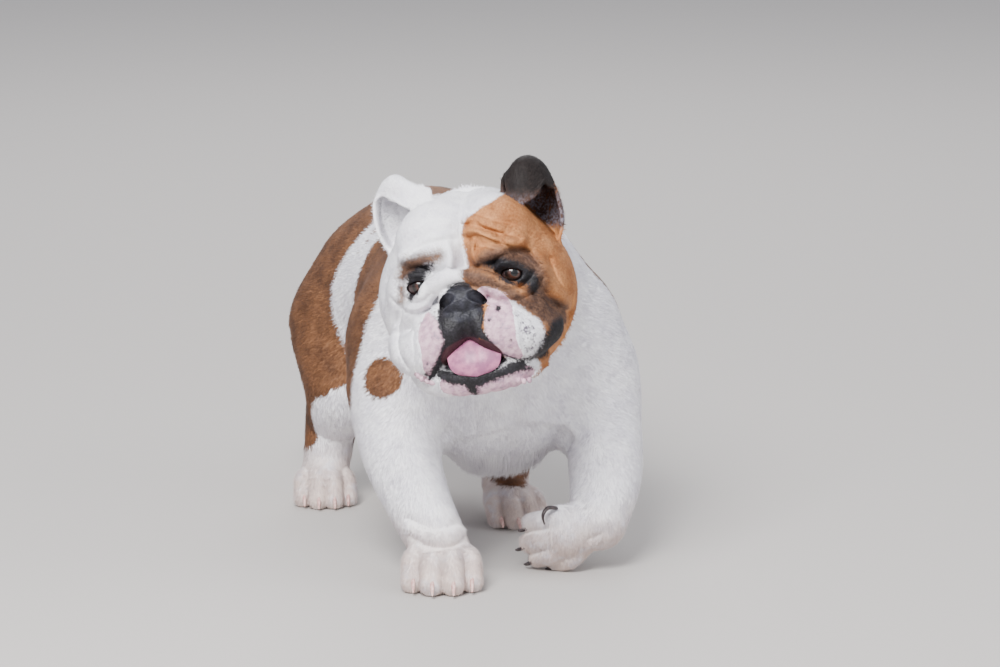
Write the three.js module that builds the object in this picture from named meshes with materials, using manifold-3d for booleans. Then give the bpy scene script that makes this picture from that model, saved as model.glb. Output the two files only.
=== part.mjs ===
import * as THREE from 'three';
import { mergeVertices } from 'three/addons/utils/BufferGeometryUtils.js';
import Module from 'manifold-3d';

// English bulldog, life size, caught in mid walk. It faces -Y and turns its head to its own right.
// +X is its left, +Z is up, and the floor is z = 0. Lengths are millimetres.

// Driving dimensions: middles and half sizes of the masses, [x, y, z], on the floor grid above.
const RIB_CAGE = { at: [0, 15, 228], half: [118, 160, 132] };
const FORE_CHEST = { at: [0, -72, 196], half: [96, 84, 104] };
const SHOULDER = { at: [98, -34, 222], half: [52, 76, 74], tilt: [0, 0, -8] };
const UPPER_ARM = { at: [100, -80, 172], half: [46, 46, 58] };
const LOIN = { at: [0, 165, 240], half: [110, 128, 110] };
const HAUNCH = { at: [56, 222, 208], half: [62, 78, 88], tilt: [0, 8, 4] };
const WITHERS = { at: [0, -50, 288], half: [84, 84, 66] };

// Centre lines with the radius as fourth number, from root to end.
const NECK_LINE = [[0, -30, 282, 88], [-22, -90, 296, 88], [-50, -150, 312, 88]];
const PLANTED_FORELEG = [
  [-108, -60, 175, 48], [-118, -105, 128, 41], [-112, -150, 80, 34], [-101, -184, 44, 30],
];
const LIFTED_FORELEG = [
  [108, -60, 182, 48], [105, -108, 138, 42], [95, -152, 94, 38], [76, -184, 52, 30],
];
const TRAILING_HINDLEG = [
  [-75, 225, 190, 66], [-90, 185, 130, 46], [-98, 214, 85, 30], [-106, 212, 42, 25],
];
const LEADING_HINDLEG = [
  [75, 215, 190, 66], [88, 140, 130, 44], [76, 132, 85, 29], [58, 76, 36, 25],
];
const TAIL_LINE = [[0, 284, 264, 22], [4, 314, 254, 15], [14, 330, 238, 9]];

const GAP = 0.3;

// How widely neighbouring masses melt together: round muscles, limbs, cheeks, toes and lips.
const MUSCLE_BLEND = 36;
const LIMB_BLEND = 25;
const CHEEK_BLEND = 20;
const TOE_BLEND = 4;
const LIP_BLEND = 6;

const TOE_RADIUS = 12;
const OUTER_TOE = { x: 29, y: -22 };
const INNER_TOE = { x: 10.5, y: -36 };
const PAW_HEIGHT = 46;
const CLAW = { radius: 3.6, length: 20, sides: 6 };

const HEAD_PLACE = { at: [-68, -213, 326], yaw: -25.5, pitch: -7.5, roll: -9.5 };
const EYE_RADIUS = 12.5;
const EYE_MIDDLE = [48, -74, 5];
const EAR_THICKNESS = 4.4;
const NOSE_MIDDLE = -2;
const LIP_RADIUS = 14;

// Grid spacing of each part's facets. The head's is close over the face and wide over the skull.
const CELL = { torso: 27, neck: 22, leg: 16.5, paw: 8.6, face: 8.6, skull: 17, nose: 6, tongue: 8, tail: 12 };
const EAR_FACETS = { across: 11, down: 11 };

const wasm = await Module();
wasm.setup();

const degrees = THREE.MathUtils.degToRad;

// A turned and shifted grid. Mirrored ones carry a form on both sides of their x = 0 plane.
class Place {
  constructor(matrix, mirrored = false) {
    this.matrix = matrix;
    this.inverse = matrix.clone().invert();
    this.mirrored = mirrored;
  }

  static turned({ at = [0, 0, 0], yaw = 0, pitch = 0, roll = 0 }, mirrored) {
    const turn = new THREE.Euler(degrees(pitch), degrees(roll), degrees(yaw), 'ZXY');
    const matrix = new THREE.Matrix4().makeRotationFromEuler(turn).setPosition(...at);
    return new Place(matrix, mirrored);
  }

  // The paw's -Y axis runs along toes, and +Z points out of its back.
  static along(at, toes, back) {
    const y = new THREE.Vector3(...toes).normalize().negate();
    const x = new THREE.Vector3().crossVectors(y, new THREE.Vector3(...back)).normalize();
    const z = new THREE.Vector3().crossVectors(x, y);
    return new Place(new THREE.Matrix4().makeBasis(x, y, z).setPosition(...at));
  }

  pair() {
    return new Place(this.matrix, true);
  }

  inside(point) {
    const q = point.clone().applyMatrix4(this.inverse);
    if (this.mirrored) q.x = Math.abs(q.x);
    return q;
  }
}

const BODY = Place.turned({});
const BOTH_SIDES = BODY.pair();
const HEAD = Place.turned(HEAD_PLACE);
const FACE_SIDES = HEAD.pair();
const PLANTED_PAW = Place.turned({ at: [-100, -193, 0], yaw: -16 });
const LIFTED_PAW = Place.along([50, -160, 42], [-0.84, 0.1, -0.48], [-0.05, -0.95, 0.1]);
const LEADING_PAW = Place.turned({ at: [54, 48, 0], yaw: 2 });
const TRAILING_PAW = Place.turned({ at: [-112, 200, 0], yaw: -14 });

// Each form gives the distance from its surface, negative inside, and the box that holds it.
function ball({ at, half, tilt = [0, 0, 0] }) {
  const place = Place.turned({ at, yaw: tilt[0], pitch: tilt[1], roll: tilt[2] });
  const reach = Math.max(...half);
  const middle = new THREE.Vector3(...at);
  return {
    box: new THREE.Box3().setFromCenterAndSize(middle, new THREE.Vector3(2 * reach, 2 * reach, 2 * reach)),
    distance(p) {
      const q = place.inside(p);
      const a = Math.hypot(q.x / half[0], q.y / half[1], q.z / half[2]);
      const b = Math.hypot(q.x / half[0] ** 2, q.y / half[1] ** 2, q.z / half[2] ** 2);
      return a * (a - 1) / (b + 1e-9);
    },
  };
}

function smoothPoints(points, pieces) {
  const curve = (knots) => new THREE.CatmullRomCurve3(knots, false, 'catmullrom').getPoints(pieces);
  const middles = curve(points.map(([x, y, z]) => new THREE.Vector3(x, y, z)));
  const radii = curve(points.map((p) => new THREE.Vector3(p[3] ?? 0, 0, 0)));
  return middles.map((middle, i) => ({ middle, radius: radii[i].x }));
}

function hose(points, pieces = 12) {
  const rings = smoothPoints(points, pieces);
  const box = new THREE.Box3();
  for (const { middle, radius } of rings) {
    box.union(new THREE.Box3().setFromPoints([middle]).expandByScalar(radius));
  }
  const spans = rings.slice(1).map((end, i) => {
    const start = rings[i];
    return { start, end, run: end.middle.clone().sub(start.middle) };
  });
  const offset = new THREE.Vector3();
  return {
    box,
    distance(p) {
      let nearest = Infinity;
      for (const { start, end, run } of spans) {
        offset.subVectors(p, start.middle);
        const along = THREE.MathUtils.clamp(offset.dot(run) / run.lengthSq(), 0, 1);
        const radius = THREE.MathUtils.lerp(start.radius, end.radius, along);
        nearest = Math.min(nearest, offset.addScaledVector(run, -along).length() - radius);
      }
      return nearest;
    },
  };
}

function blendMin(a, b, width) {
  const share = THREE.MathUtils.clamp(0.5 + 0.5 * (a - b) / width, 0, 1);
  return a + (b - a) * share - width * share * (1 - share);
}

// A form is worked out only near its box. Points that no form is near are taken as far outside.
const NEAR_MARGIN = 16;
const FAR_OUTSIDE = 60;

// Forms melted together one after the other: added masses, cut hollows, and folds along a line.
class Flesh {
  constructor() {
    this.steps = [];
  }

  add(form, blend, place = BODY) {
    const reach = form.box.clone().expandByScalar(blend + NEAR_MARGIN);
    this.steps.push({ reach, place, apply: (d, p) => blendMin(d, form.distance(p), blend) });
    return this;
  }

  cut(form, blend, place = BODY) {
    const reach = form.box.clone().expandByScalar(blend + NEAR_MARGIN);
    this.steps.push({ reach, place, apply: (d, p) => -blendMin(-d, form.distance(p), blend) });
    return this;
  }

  // A height below zero gives a groove.
  fold(points, width, height, place = BODY) {
    const line = hose(points);
    const reach = line.box.clone().expandByScalar(3 * width);
    const lift = (p) => height * Math.exp(-((line.distance(p) / width) ** 2));
    this.steps.push({ reach, place, apply: (d, p) => d - lift(p) });
    return this;
  }

  distance(point) {
    let d = FAR_OUTSIDE;
    let place = null;
    let local = null;
    for (const step of this.steps) {
      if (step.place !== place) {
        place = step.place;
        local = place.inside(point);
      }
      if (step.reach.containsPoint(local)) d = step.apply(d, local);
    }
    return d;
  }
}

function addTrunk(flesh) {
  flesh.add(ball(RIB_CAGE), 20);
  flesh.add(ball(FORE_CHEST), 30);
  flesh.add(ball(SHOULDER), MUSCLE_BLEND, BOTH_SIDES);
  flesh.add(ball(UPPER_ARM), 30, BOTH_SIDES);
  flesh.add(ball(LOIN), MUSCLE_BLEND);
  flesh.add(ball(HAUNCH), MUSCLE_BLEND, BOTH_SIDES);
  flesh.add(ball(WITHERS), MUSCLE_BLEND);
  flesh.add(hose(NECK_LINE, 20), MUSCLE_BLEND);
  for (const line of [PLANTED_FORELEG, LIFTED_FORELEG, TRAILING_HINDLEG, LEADING_HINDLEG]) {
    flesh.add(hose(line, 24), LIMB_BLEND);
  }
  flesh.add(hose(TAIL_LINE), 12);
}

const PAWS = [
  { name: 'paw_fore_right', place: PLANTED_PAW, width: 1, size: 1 },
  { name: 'paw_fore_left', place: LIFTED_PAW, width: 0.9, size: 0.92 },
  { name: 'paw_hind_left', place: LEADING_PAW, width: 0.9, size: 0.88 },
  { name: 'paw_hind_right', place: TRAILING_PAW, width: 0.9, size: 0.88 },
];

function toesOf({ width }) {
  return [-OUTER_TOE.x, -INNER_TOE.x, INNER_TOE.x, OUTER_TOE.x].map((x) => {
    const y = Math.abs(x) > INNER_TOE.x ? OUTER_TOE.y : INNER_TOE.y;
    return { x: x * width, y };
  });
}

function addPaw(flesh, paw) {
  const { place, width, size } = paw;
  const sized = (points) => points.map((p) => p.map((value) => value * size));
  const back = ball({ at: [0, -4 * size, 30 * size], half: [31 * width * size, 30 * size, 24 * size] });
  const pad = ball({ at: [0, 10 * size, 13 * size], half: [20 * size, 16 * size, 14.5 * size] });
  flesh.add(back, 12, place);
  flesh.add(pad, 8, place);
  for (const { x, y } of toesOf(paw)) {
    const line = [
      [0.6 * x, y + 34, 30, TOE_RADIUS + 1],
      [0.95 * x, y + 8, 29, TOE_RADIUS + 0.5],
      [1.05 * x, y - 10, 10.5, TOE_RADIUS],
    ];
    flesh.add(hose(sized(line), 8), TOE_BLEND, place);
  }
}

function addHead(flesh) {
  const skull = ball({ at: [0, 22, 26], half: [76, 86, 68] });
  const foreheadHalf = ball({ at: [28, -32, 44], half: [44, 46, 42] });
  const cheek = ball({ at: [64, 0, -16], half: [38, 64, 58] });
  const brow = ball({ at: [37, -68, 30], half: [30, 20, 13], tilt: [0, 0, -14] });
  const muzzle = ball({ at: [0, -50, -36], half: [60, 44, 54] });
  const throat = ball({ at: [0, -12, -70], half: [70, 62, 42] });
  const orbit = ball({ at: [47, -56, 2], half: [36, 25, 28] });
  flesh.add(skull, CHEEK_BLEND, HEAD);
  flesh.add(foreheadHalf, CHEEK_BLEND, FACE_SIDES);
  flesh.add(cheek, 24, FACE_SIDES);
  flesh.add(brow, 12, FACE_SIDES);
  flesh.add(muzzle, CHEEK_BLEND, HEAD);
  flesh.add(throat, 30, HEAD);
  addMouth(flesh);
  addNoseRoll(flesh);
  flesh.add(orbit, 14, FACE_SIDES);
  addLids(flesh);
  const foreheadFurrow = [[0, -60, 88], [0, -84, 52], [0, -94, 26]];
  const browWrinkle = [[6, -78, 62], [22, -82, 54], [44, -78, 40], [66, -62, 28]];
  const cheekFold = [[66, -74, 0], [84, -54, -18], [93, -36, -48], [86, -38, -84]];
  flesh.fold(foreheadFurrow, 7, -5, HEAD);
  flesh.fold(browWrinkle, 5, 3.5, FACE_SIDES);
  flesh.fold(cheekFold, 6, -4, FACE_SIDES);
}

// Broad lower jaw, open mouth, and the two hanging upper lips that frame it.
function addMouth(flesh) {
  const lowerJaw = ball({ at: [0, -42, -92], half: [54, 46, 21] });
  const mouthHollow = ball({ at: [0, -92, -70], half: [32, 44, 17] });
  const jawRim = [
    [-60, -48, -86, LIP_RADIUS], [-42, -78, -95, LIP_RADIUS], [0, -96, -99, LIP_RADIUS - 1],
    [42, -78, -95, LIP_RADIUS], [60, -48, -86, LIP_RADIUS],
  ];
  const lowerLip = [
    [-44, -90, -88, 5], [-26, -100, -91, 6], [0, -106, -93, 6.5], [26, -102, -91, 6], [48, -88, -85, 5],
  ];
  const leftLip = [[8, -100, -36, 17], [28, -98, -49, 23], [52, -84, -59, 25], [74, -58, -56, 20]];
  const rightLip = [[-8, -100, -36, 17], [-28, -98, -47, 21], [-53, -85, -63, 25], [-72, -58, -58, 20]];
  flesh.add(lowerJaw, 14, HEAD);
  flesh.cut(mouthHollow, 5, HEAD);
  flesh.add(hose(jawRim, 18), LIP_BLEND, HEAD);
  flesh.add(hose(lowerLip, 16), 8, HEAD);
  flesh.add(hose(leftLip, 16), LIP_BLEND, HEAD);
  flesh.add(hose(rightLip, 16), LIP_BLEND, HEAD);
  flesh.fold([[0, -118, -26], [0, -117, -38], [0, -112, -52]], 3.5, -6, HEAD);
}

// The thick wrinkle that arches over the nose and runs down to both cheeks.
function addNoseRoll(flesh) {
  const roll = [
    [-88, -38, -58, 7], [-68, -66, -34, 10], [-46, -90, -10, 10], [-24, -103, 7, 9.5], [0, -108, 12, 8.5],
    [20, -106, 5, 10], [38, -98, -9, 12], [56, -86, -26, 12.5], [72, -68, -39, 12], [88, -40, -52, 8],
  ];
  flesh.add(hose(roll, 30), LIP_BLEND, HEAD);
}

function addLids(flesh) {
  const opening = ball({ at: [49, -90, 5], half: [14, 12, 10] });
  const upperLid = [[33, -84, 4, 3], [41, -87, 12, 4.2], [53, -86, 13, 4.2], [64, -75, 5, 3]];
  const lowerLid = [[33, -84, 3, 3], [43, -87, -5, 3.6], [54, -85, -5, 3.6], [64, -75, 3, 3]];
  flesh.cut(opening, 7, FACE_SIDES);
  flesh.add(hose(upperLid), 3, FACE_SIDES);
  flesh.add(hose(lowerLid), 3, FACE_SIDES);
}

function noseFlesh() {
  const nose = new Flesh();
  nose.add(ball({ at: [NOSE_MIDDLE, -98, -15], half: [23, 18, 18] }), 3, HEAD);
  for (const side of [-1, 1]) {
    const across = (x) => NOSE_MIDDLE + side * x;
    const nostril = [[across(7.5), -118, -4, 4], [across(13), -117, -8, 5.4], [across(20), -109, -16, 3]];
    nose.add(ball({ at: [across(13), -103, -13], half: [11, 13, 12.5] }), 4, HEAD);
    nose.cut(hose(nostril), 2, HEAD);
  }
  const groove = [[NOSE_MIDDLE, -118, 4], [NOSE_MIDDLE, -120, -14], [NOSE_MIDDLE, -117, -32]];
  return nose.fold(groove, 3, -3.5, HEAD);
}

// The tongue fills the open mouth, and its rounded end lies over the lower lip.
function tongueFlesh() {
  return new Flesh()
    .add(ball({ at: [1, -78, -67], half: [27, 36, 13] }), 2, HEAD)
    .add(ball({ at: [1, -101, -75], half: [24, 11, 14] }), 8, HEAD)
    .fold([[1, -56, -55], [1, -88, -55], [1, -108, -66], [1, -112, -80]], 4, -2, HEAD);
}

// Rows run from the root to the tip, and each row from the front edge round the back to the other edge.
const LEFT_EAR = [
  [[42, -8, 70], [50, 22, 68], [70, 34, 52], [86, 24, 28], [88, 0, 20]],
  [[44, -8, 96], [54, 20, 98], [76, 32, 86], [97, 18, 60], [99, 0, 46]],
  [[52, -4, 109], [60, 10, 116], [75, 16, 117], [91, 10, 106], [98, 0, 84]],
  [[50, -17, 105], [60, -16, 113], [72, -14, 113], [84, -9, 103], [92, -8, 88]],
  [[50, -25, 84], [56, -30, 78], [64, -31, 76], [74, -27, 79], [87, -15, 91]],
];
const RIGHT_EAR = [
  [[-40, -6, 70], [-48, 20, 70], [-66, 32, 54], [-80, 24, 36], [-80, 2, 32]],
  [[-48, -8, 92], [-54, 18, 100], [-72, 28, 92], [-90, 14, 72], [-92, -2, 60]],
  [[-56, -6, 104], [-62, 8, 113], [-72, 12, 115], [-85, 8, 104], [-93, -2, 86]],
  [[-46, -17, 104], [-54, -17, 108], [-64, -17, 108], [-75, -13, 98], [-82, -10, 84]],
  [[-33, -20, 97], [-33, -24, 90], [-38, -27, 86], [-52, -28, 80], [-68, -22, 76]],
];

// A closed bent plate through the rows, as thick as the ear's leather.
function earLeather(rows) {
  const { across, down } = EAR_FACETS;
  const long = rows.map((row) => smoothPoints(row, across).map((ring) => ring.middle.toArray()));
  const lines = long[0].map((_, i) => {
    const rings = smoothPoints(long.map((row) => row[i]), down);
    return rings.map((ring) => ring.middle);
  });
  const outer = [];
  const inner = [];
  for (let i = 0; i <= across; i++) {
    for (let j = 0; j <= down; j++) {
      const aside = lines[Math.min(i + 1, across)][j].clone().sub(lines[Math.max(i - 1, 0)][j]);
      const along = lines[i][Math.min(j + 1, down)].clone().sub(lines[i][Math.max(j - 1, 0)]);
      const lift = aside.cross(along).setLength(EAR_THICKNESS / 2);
      outer.push(lines[i][j].clone().add(lift));
      inner.push(lines[i][j].clone().sub(lift));
    }
  }
  const count = outer.length;
  const at = (i, j) => i * (down + 1) + j;
  const faces = [];
  const quad = (a, b, c, d) => faces.push(a, b, c, a, c, d);
  for (let i = 0; i < across; i++) {
    for (let j = 0; j < down; j++) {
      quad(at(i, j), at(i + 1, j), at(i + 1, j + 1), at(i, j + 1));
      quad(count + at(i, j + 1), count + at(i + 1, j + 1), count + at(i + 1, j), count + at(i, j));
    }
  }
  const rim = [];
  for (let i = 0; i < across; i++) {
    rim.push(at(i, 0));
  }
  for (let j = 0; j < down; j++) {
    rim.push(at(across, j));
  }
  for (let i = across; i > 0; i--) {
    rim.push(at(i, down));
  }
  for (let j = down; j > 0; j--) {
    rim.push(at(0, j));
  }
  rim.forEach((a, n) => {
    const b = rim[(n + 1) % rim.length];
    quad(b, a, count + a, count + b);
  });
  const geometry = new THREE.BufferGeometry().setFromPoints([...outer, ...inner]);
  geometry.setIndex(faces);
  return geometry.applyMatrix4(HEAD.matrix);
}

// A grid cell's corners, edges and faces, numbered by the bits of its corners.
const CELL_CORNERS = Array.from({ length: 8 }, (_, n) => [n & 1, (n >> 1) & 1, (n >> 2) & 1]);
const CELL_EDGES = [];
for (let corner = 0; corner < 8; corner++) {
  for (const bit of [1, 2, 4].filter((value) => !(corner & value))) {
    CELL_EDGES.push([corner, corner | bit]);
  }
}
const CELL_FACES = [1, 2, 4].flatMap((bit) => [0, bit].map((side) => {
  const onFace = (corner) => (corner & bit) === side;
  return CELL_EDGES.map((edge, n) => n).filter((n) => CELL_EDGES[n].every(onFace));
}));

// Sorts the edges of a cell that the surface crosses into separate patches of the surface.
function patchesOf(values) {
  const crossed = CELL_EDGES.map(([a, b]) => (values[a] < 0) !== (values[b] < 0));
  const patch = CELL_EDGES.map((_, n) => n);
  const join = (a, b) => {
    const [keep, drop] = [patch[a], patch[b]];
    for (const n of patch.keys()) {
      if (patch[n] === drop) patch[n] = keep;
    }
  };
  for (const face of CELL_FACES) {
    const cut = face.filter((n) => crossed[n]);
    if (cut.length === 2) join(cut[0], cut[1]);
    if (cut.length === 4) {
      for (const corner of new Set(cut.flatMap((n) => CELL_EDGES[n]))) {
        const [a, b] = cut.filter((n) => CELL_EDGES[n].includes(corner));
        if (values[corner] < 0) join(a, b);
      }
    }
  }
  const groups = new Map();
  crossed.forEach((isCut, n) => {
    if (isCut) groups.set(patch[n], [...(groups.get(patch[n]) ?? []), n]);
  });
  return [...groups.values()];
}

function steps(from, to, cell) {
  const count = Math.ceil((to - from) / cell) + 1;
  return Array.from({ length: count }, (_, i) => from + i * cell);
}

// The surface as facets: one corner for each patch in each grid cell, drawn onto the surface.
function shell(flesh, place, [xs, ys, zs]) {
  const [nx, ny, nz] = [xs.length, ys.length, zs.length];
  const index = (i, j, k) => (i * ny + j) * nz + k;
  const values = new Float64Array(nx * ny * nz).fill(1);
  const knot = (i, j, k) => new THREE.Vector3(xs[i], ys[j], zs[k]).applyMatrix4(place.matrix);
  for (let i = 1; i < nx - 1; i++) {
    for (let j = 1; j < ny - 1; j++) {
      for (let k = 1; k < nz - 1; k++) {
        values[index(i, j, k)] = flesh.distance(knot(i, j, k));
      }
    }
  }
  const corners = [];
  const cornerOf = new Map();
  for (let i = 0; i < nx - 1; i++) {
    for (let j = 0; j < ny - 1; j++) {
      for (let k = 0; k < nz - 1; k++) {
        const around = CELL_CORNERS.map(([a, b, c]) => values[index(i + a, j + b, k + c)]);
        const inner = around.filter((value) => value < 0).length;
        if (inner === 0 || inner === 8) continue;
        for (const patch of patchesOf(around)) {
          const middle = new THREE.Vector3();
          for (const n of patch) {
            const [start, end] = CELL_EDGES[n].map((corner) => {
              const [a, b, c] = CELL_CORNERS[corner];
              return knot(i + a, j + b, k + c);
            });
            const [a, b] = CELL_EDGES[n].map((corner) => around[corner]);
            middle.addScaledVector(start.lerp(end, a / (a - b)), 1 / patch.length);
            cornerOf.set(index(i, j, k) * 12 + n, corners.length);
          }
          corners.push(middle);
        }
      }
    }
  }
  const limit = 0.5 * Math.min(xs[1] - xs[0], ys[1] - ys[0], zs[1] - zs[0]);
  for (const corner of corners) {
    settle(corner, flesh, limit);
  }
  const faces = [];
  const quad = (ring, flip) => {
    const [a, b, c, d] = flip ? ring.reverse() : ring;
    const short = corners[a].distanceTo(corners[c]) <= corners[b].distanceTo(corners[d]);
    faces.push(...(short ? [a, b, c, a, c, d] : [a, b, d, b, c, d]));
  };
  for (let i = 0; i < nx - 1; i++) {
    for (let j = 0; j < ny - 1; j++) {
      for (let k = 0; k < nz - 1; k++) {
        const knotIndex = [i, j, k];
        const here = values[index(i, j, k)] < 0;
        for (const axis of [0, 1, 2]) {
          const ahead = [...knotIndex];
          ahead[axis] += 1;
          if (here === values[index(...ahead)] < 0) continue;
          const [u, v] = [(axis + 1) % 3, (axis + 2) % 3];
          const ring = [[1, 1], [0, 1], [0, 0], [1, 0]].map(([du, dv]) => {
            const cell = [...knotIndex];
            cell[u] -= du;
            cell[v] -= dv;
            const corner = (du << u) | (dv << v);
            const edge = CELL_EDGES.findIndex(([a, b]) => a === corner && b === (corner | (1 << axis)));
            return cornerOf.get(index(...cell) * 12 + edge);
          });
          quad(ring, !here);
        }
      }
    }
  }
  const geometry = new THREE.BufferGeometry().setFromPoints(corners);
  geometry.setIndex(faces);
  return geometry;
}

// Moves a corner down the slope of the distance until it lies on the surface.
function settle(corner, flesh, limit) {
  const reach = 0.5;
  const flattest = 0.2;
  const probe = new THREE.Vector3();
  for (let round = 0; round < 3; round++) {
    const slope = new THREE.Vector3();
    for (const axis of ['x', 'y', 'z']) {
      probe.copy(corner)[axis] += reach;
      const ahead = flesh.distance(probe);
      probe[axis] -= 2 * reach;
      slope[axis] = (ahead - flesh.distance(probe)) / (2 * reach);
    }
    const move = -flesh.distance(corner) / Math.max(slope.lengthSq(), flattest);
    corner.add(slope.multiplyScalar(move).clampLength(0, limit));
  }
}

function solid(geometry) {
  const bare = geometry.clone();
  bare.deleteAttribute('normal');
  bare.deleteAttribute('uv');
  const merged = mergeVertices(bare, 1e-4);
  return new wasm.Manifold(new wasm.Mesh({
    numProp: 3,
    vertProperties: Float32Array.from(merged.attributes.position.array),
    triVerts: Uint32Array.from(merged.index.array),
  }));
}

// The same facets pushed outwards, which leave the gap when they are cut from a neighbour.
function grown(geometry) {
  const wide = geometry.clone();
  wide.computeVertexNormals();
  const { position, normal } = wide.attributes;
  const corner = new THREE.Vector3();
  const push = new THREE.Vector3();
  for (let i = 0; i < position.count; i++) {
    corner.fromBufferAttribute(position, i).addScaledVector(push.fromBufferAttribute(normal, i), GAP);
    position.setXYZ(i, ...corner.toArray());
  }
  return wide;
}

function boxSolid({ from, to, place = BODY }, growth) {
  const low = new THREE.Vector3(...from).subScalar(growth);
  const high = new THREE.Vector3(...to).addScalar(growth);
  const size = high.clone().sub(low);
  const geometry = new THREE.BoxGeometry(...size.toArray());
  const middle = low.add(high).divideScalar(2);
  geometry.translate(...middle.toArray());
  geometry.applyMatrix4(place.matrix);
  return solid(geometry);
}

// A zone is one or more boxes, grown by the gap when it is taken out of its neighbour.
function zoneSolid(boxes, growth = 0) {
  return boxes.map((box) => boxSolid(box, growth)).reduce((whole, next) => whole.add(next));
}

function largest(whole) {
  return whole.decompose().reduce((best, next) => (next.volume() > best.volume() ? next : best));
}

function geometryOf(whole) {
  const { vertProperties, triVerts } = largest(whole).getMesh();
  const geometry = new THREE.BufferGeometry();
  geometry.setAttribute('position', new THREE.BufferAttribute(Float32Array.from(vertProperties), 3));
  geometry.setIndex(new THREE.BufferAttribute(Uint32Array.from(triVerts), 1));
  geometry.computeVertexNormals();
  return geometry;
}

// Zones divide the flesh into the model's pieces. FAR is past the whole animal.
const FAR = 700;
const NECK_PLACE = Place.along([-8, -92, 292], [-0.2, -0.7, 0.68], [0, 0.7, 0.72]);

const pawZone = ({ place, size }) => [
  { from: [-60, -90, -20], to: [60, 34 * size, PAW_HEIGHT * size], place },
];
const HEAD_ZONE = [{ from: [-140, -160, -130], to: [140, 34, 150], place: HEAD }];
const NECK_ZONE = [{ from: [-170, -250, -120], to: [170, 0, 200], place: NECK_PLACE }];
const TAIL_ZONE = [{ from: [-60, 298, 200], to: [60, 380, 300] }];
const LEG_ZONES = {
  foreleg_right: [
    { from: [-FAR, -FAR, 0], to: [-64, -45, 182] },
    { from: [-FAR, -FAR, 0], to: [-20, -125, 100] },
  ],
  foreleg_left: [
    { from: [64, -FAR, 0], to: [FAR, -45, 182] },
    { from: [44, -FAR, 0], to: [FAR, -112, 182] },
    { from: [-20, -FAR, 0], to: [FAR, -125, 100] },
  ],
  hindleg_right: [{ from: [-FAR, 120, 0], to: [-18, FAR, 195] }],
  hindleg_left: [
    { from: [18, 98, 0], to: [FAR, FAR, 195] },
    { from: [20, 0, 0], to: [FAR, FAR, 90] },
  ],
};

const trunk = new Flesh();
addTrunk(trunk);
for (const paw of PAWS) addPaw(trunk, paw);
addHead(trunk);

function evenGrid(from, to, cell) {
  return [0, 1, 2].map((axis) => steps(from[axis] - 2.2 * cell, to[axis] + 2.2 * cell, cell));
}

function clawSolids(paw) {
  const { place, size } = paw;
  return toesOf(paw).map(({ x, y }) => {
    const geometry = new THREE.ConeGeometry(CLAW.radius * size, CLAW.length * size, CLAW.sides);
    geometry.rotateX(degrees(116));
    geometry.translate(1.05 * x * size, (y - 21) * size, 9.5 * size);
    geometry.applyMatrix4(place.matrix);
    return solid(geometry);
  });
}

const ABOVE_FLOOR = { from: [-FAR, -FAR, 0], to: [FAR, FAR, FAR] };

function makePaw(paw) {
  const zone = pawZone(paw)[0];
  const grid = evenGrid([-48, -64, -4], [48, zone.to[1], zone.to[2]], CELL.paw);
  let whole = solid(shell(trunk, paw.place, grid)).intersect(zoneSolid([zone]));
  for (const claw of clawSolids(paw)) {
    whole = whole.add(claw);
  }
  return whole.intersect(zoneSolid([ABOVE_FLOOR]));
}

function makeLeg(name, paws) {
  const zones = LEG_ZONES[name];
  const back = name.startsWith('hind');
  const grid = evenGrid([-175, back ? 0 : -240, 0], [175, back ? 330 : -45, 195], CELL.leg);
  let whole = solid(shell(trunk, BODY, grid)).intersect(zoneSolid(zones));
  for (const paw of paws) {
    whole = whole.subtract(zoneSolid(pawZone(paw), GAP));
  }
  return whole.subtract(zoneSolid(HEAD_ZONE, GAP));
}

function makeTorso() {
  const whole = solid(shell(trunk, BODY, evenGrid([-175, -200, 60], [175, 335, 390], CELL.torso)));
  const others = [NECK_ZONE, HEAD_ZONE, TAIL_ZONE, ...Object.values(LEG_ZONES)];
  return others.reduce((rest, zone) => rest.subtract(zoneSolid(zone, GAP)), whole);
}

function makeNeck() {
  const grid = evenGrid([-140, -150, -120], [140, 0, 150], CELL.neck);
  const whole = solid(shell(trunk, NECK_PLACE, grid)).intersect(zoneSolid(NECK_ZONE));
  return whole.subtract(zoneSolid(HEAD_ZONE, GAP));
}

function makeTail() {
  const whole = solid(shell(trunk, BODY, evenGrid([-40, 290, 210], [50, 350, 300], CELL.tail)));
  return whole.intersect(zoneSolid(TAIL_ZONE));
}

// Grid steps whose spacing changes at each stop.
function gradedSteps(stops, end) {
  return stops.flatMap(([from, cell], i) => {
    const to = stops[i + 1]?.[0] ?? end;
    const count = Math.round((to - from) / cell);
    return Array.from({ length: count }, (_, n) => from + (n * (to - from)) / count);
  });
}

const headGrid = [
  gradedSteps([[-124, CELL.skull], [-74, CELL.face], [74, CELL.skull]], 136),
  gradedSteps([[-132, CELL.face], [-56, CELL.skull]], 76),
  gradedSteps([[-142, CELL.skull], [-118, CELL.face], [48, CELL.skull]], 136),
];

function eyeBall(side, radius) {
  const geometry = new THREE.SphereGeometry(radius, 12, 8);
  geometry.rotateX(degrees(90));
  geometry.translate(side * EYE_MIDDLE[0], EYE_MIDDLE[1], EYE_MIDDLE[2]);
  return geometry.applyMatrix4(HEAD.matrix);
}

const noseShell = shell(noseFlesh(), HEAD, evenGrid([-30, -124, -36], [26, -76, 6], CELL.nose));
const tongueShell = shell(tongueFlesh(), HEAD, evenGrid([-28, -114, -92], [30, -40, -52], CELL.tongue));
const headShell = shell(trunk, HEAD, headGrid);

function makeHead() {
  const insets = [
    solid(grown(noseShell)),
    solid(grown(tongueShell)),
    solid(eyeBall(1, EYE_RADIUS + GAP)),
    solid(eyeBall(-1, EYE_RADIUS + GAP)),
  ];
  const whole = solid(headShell).intersect(zoneSolid(HEAD_ZONE));
  return insets.reduce((rest, inset) => rest.subtract(inset), whole);
}

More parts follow.
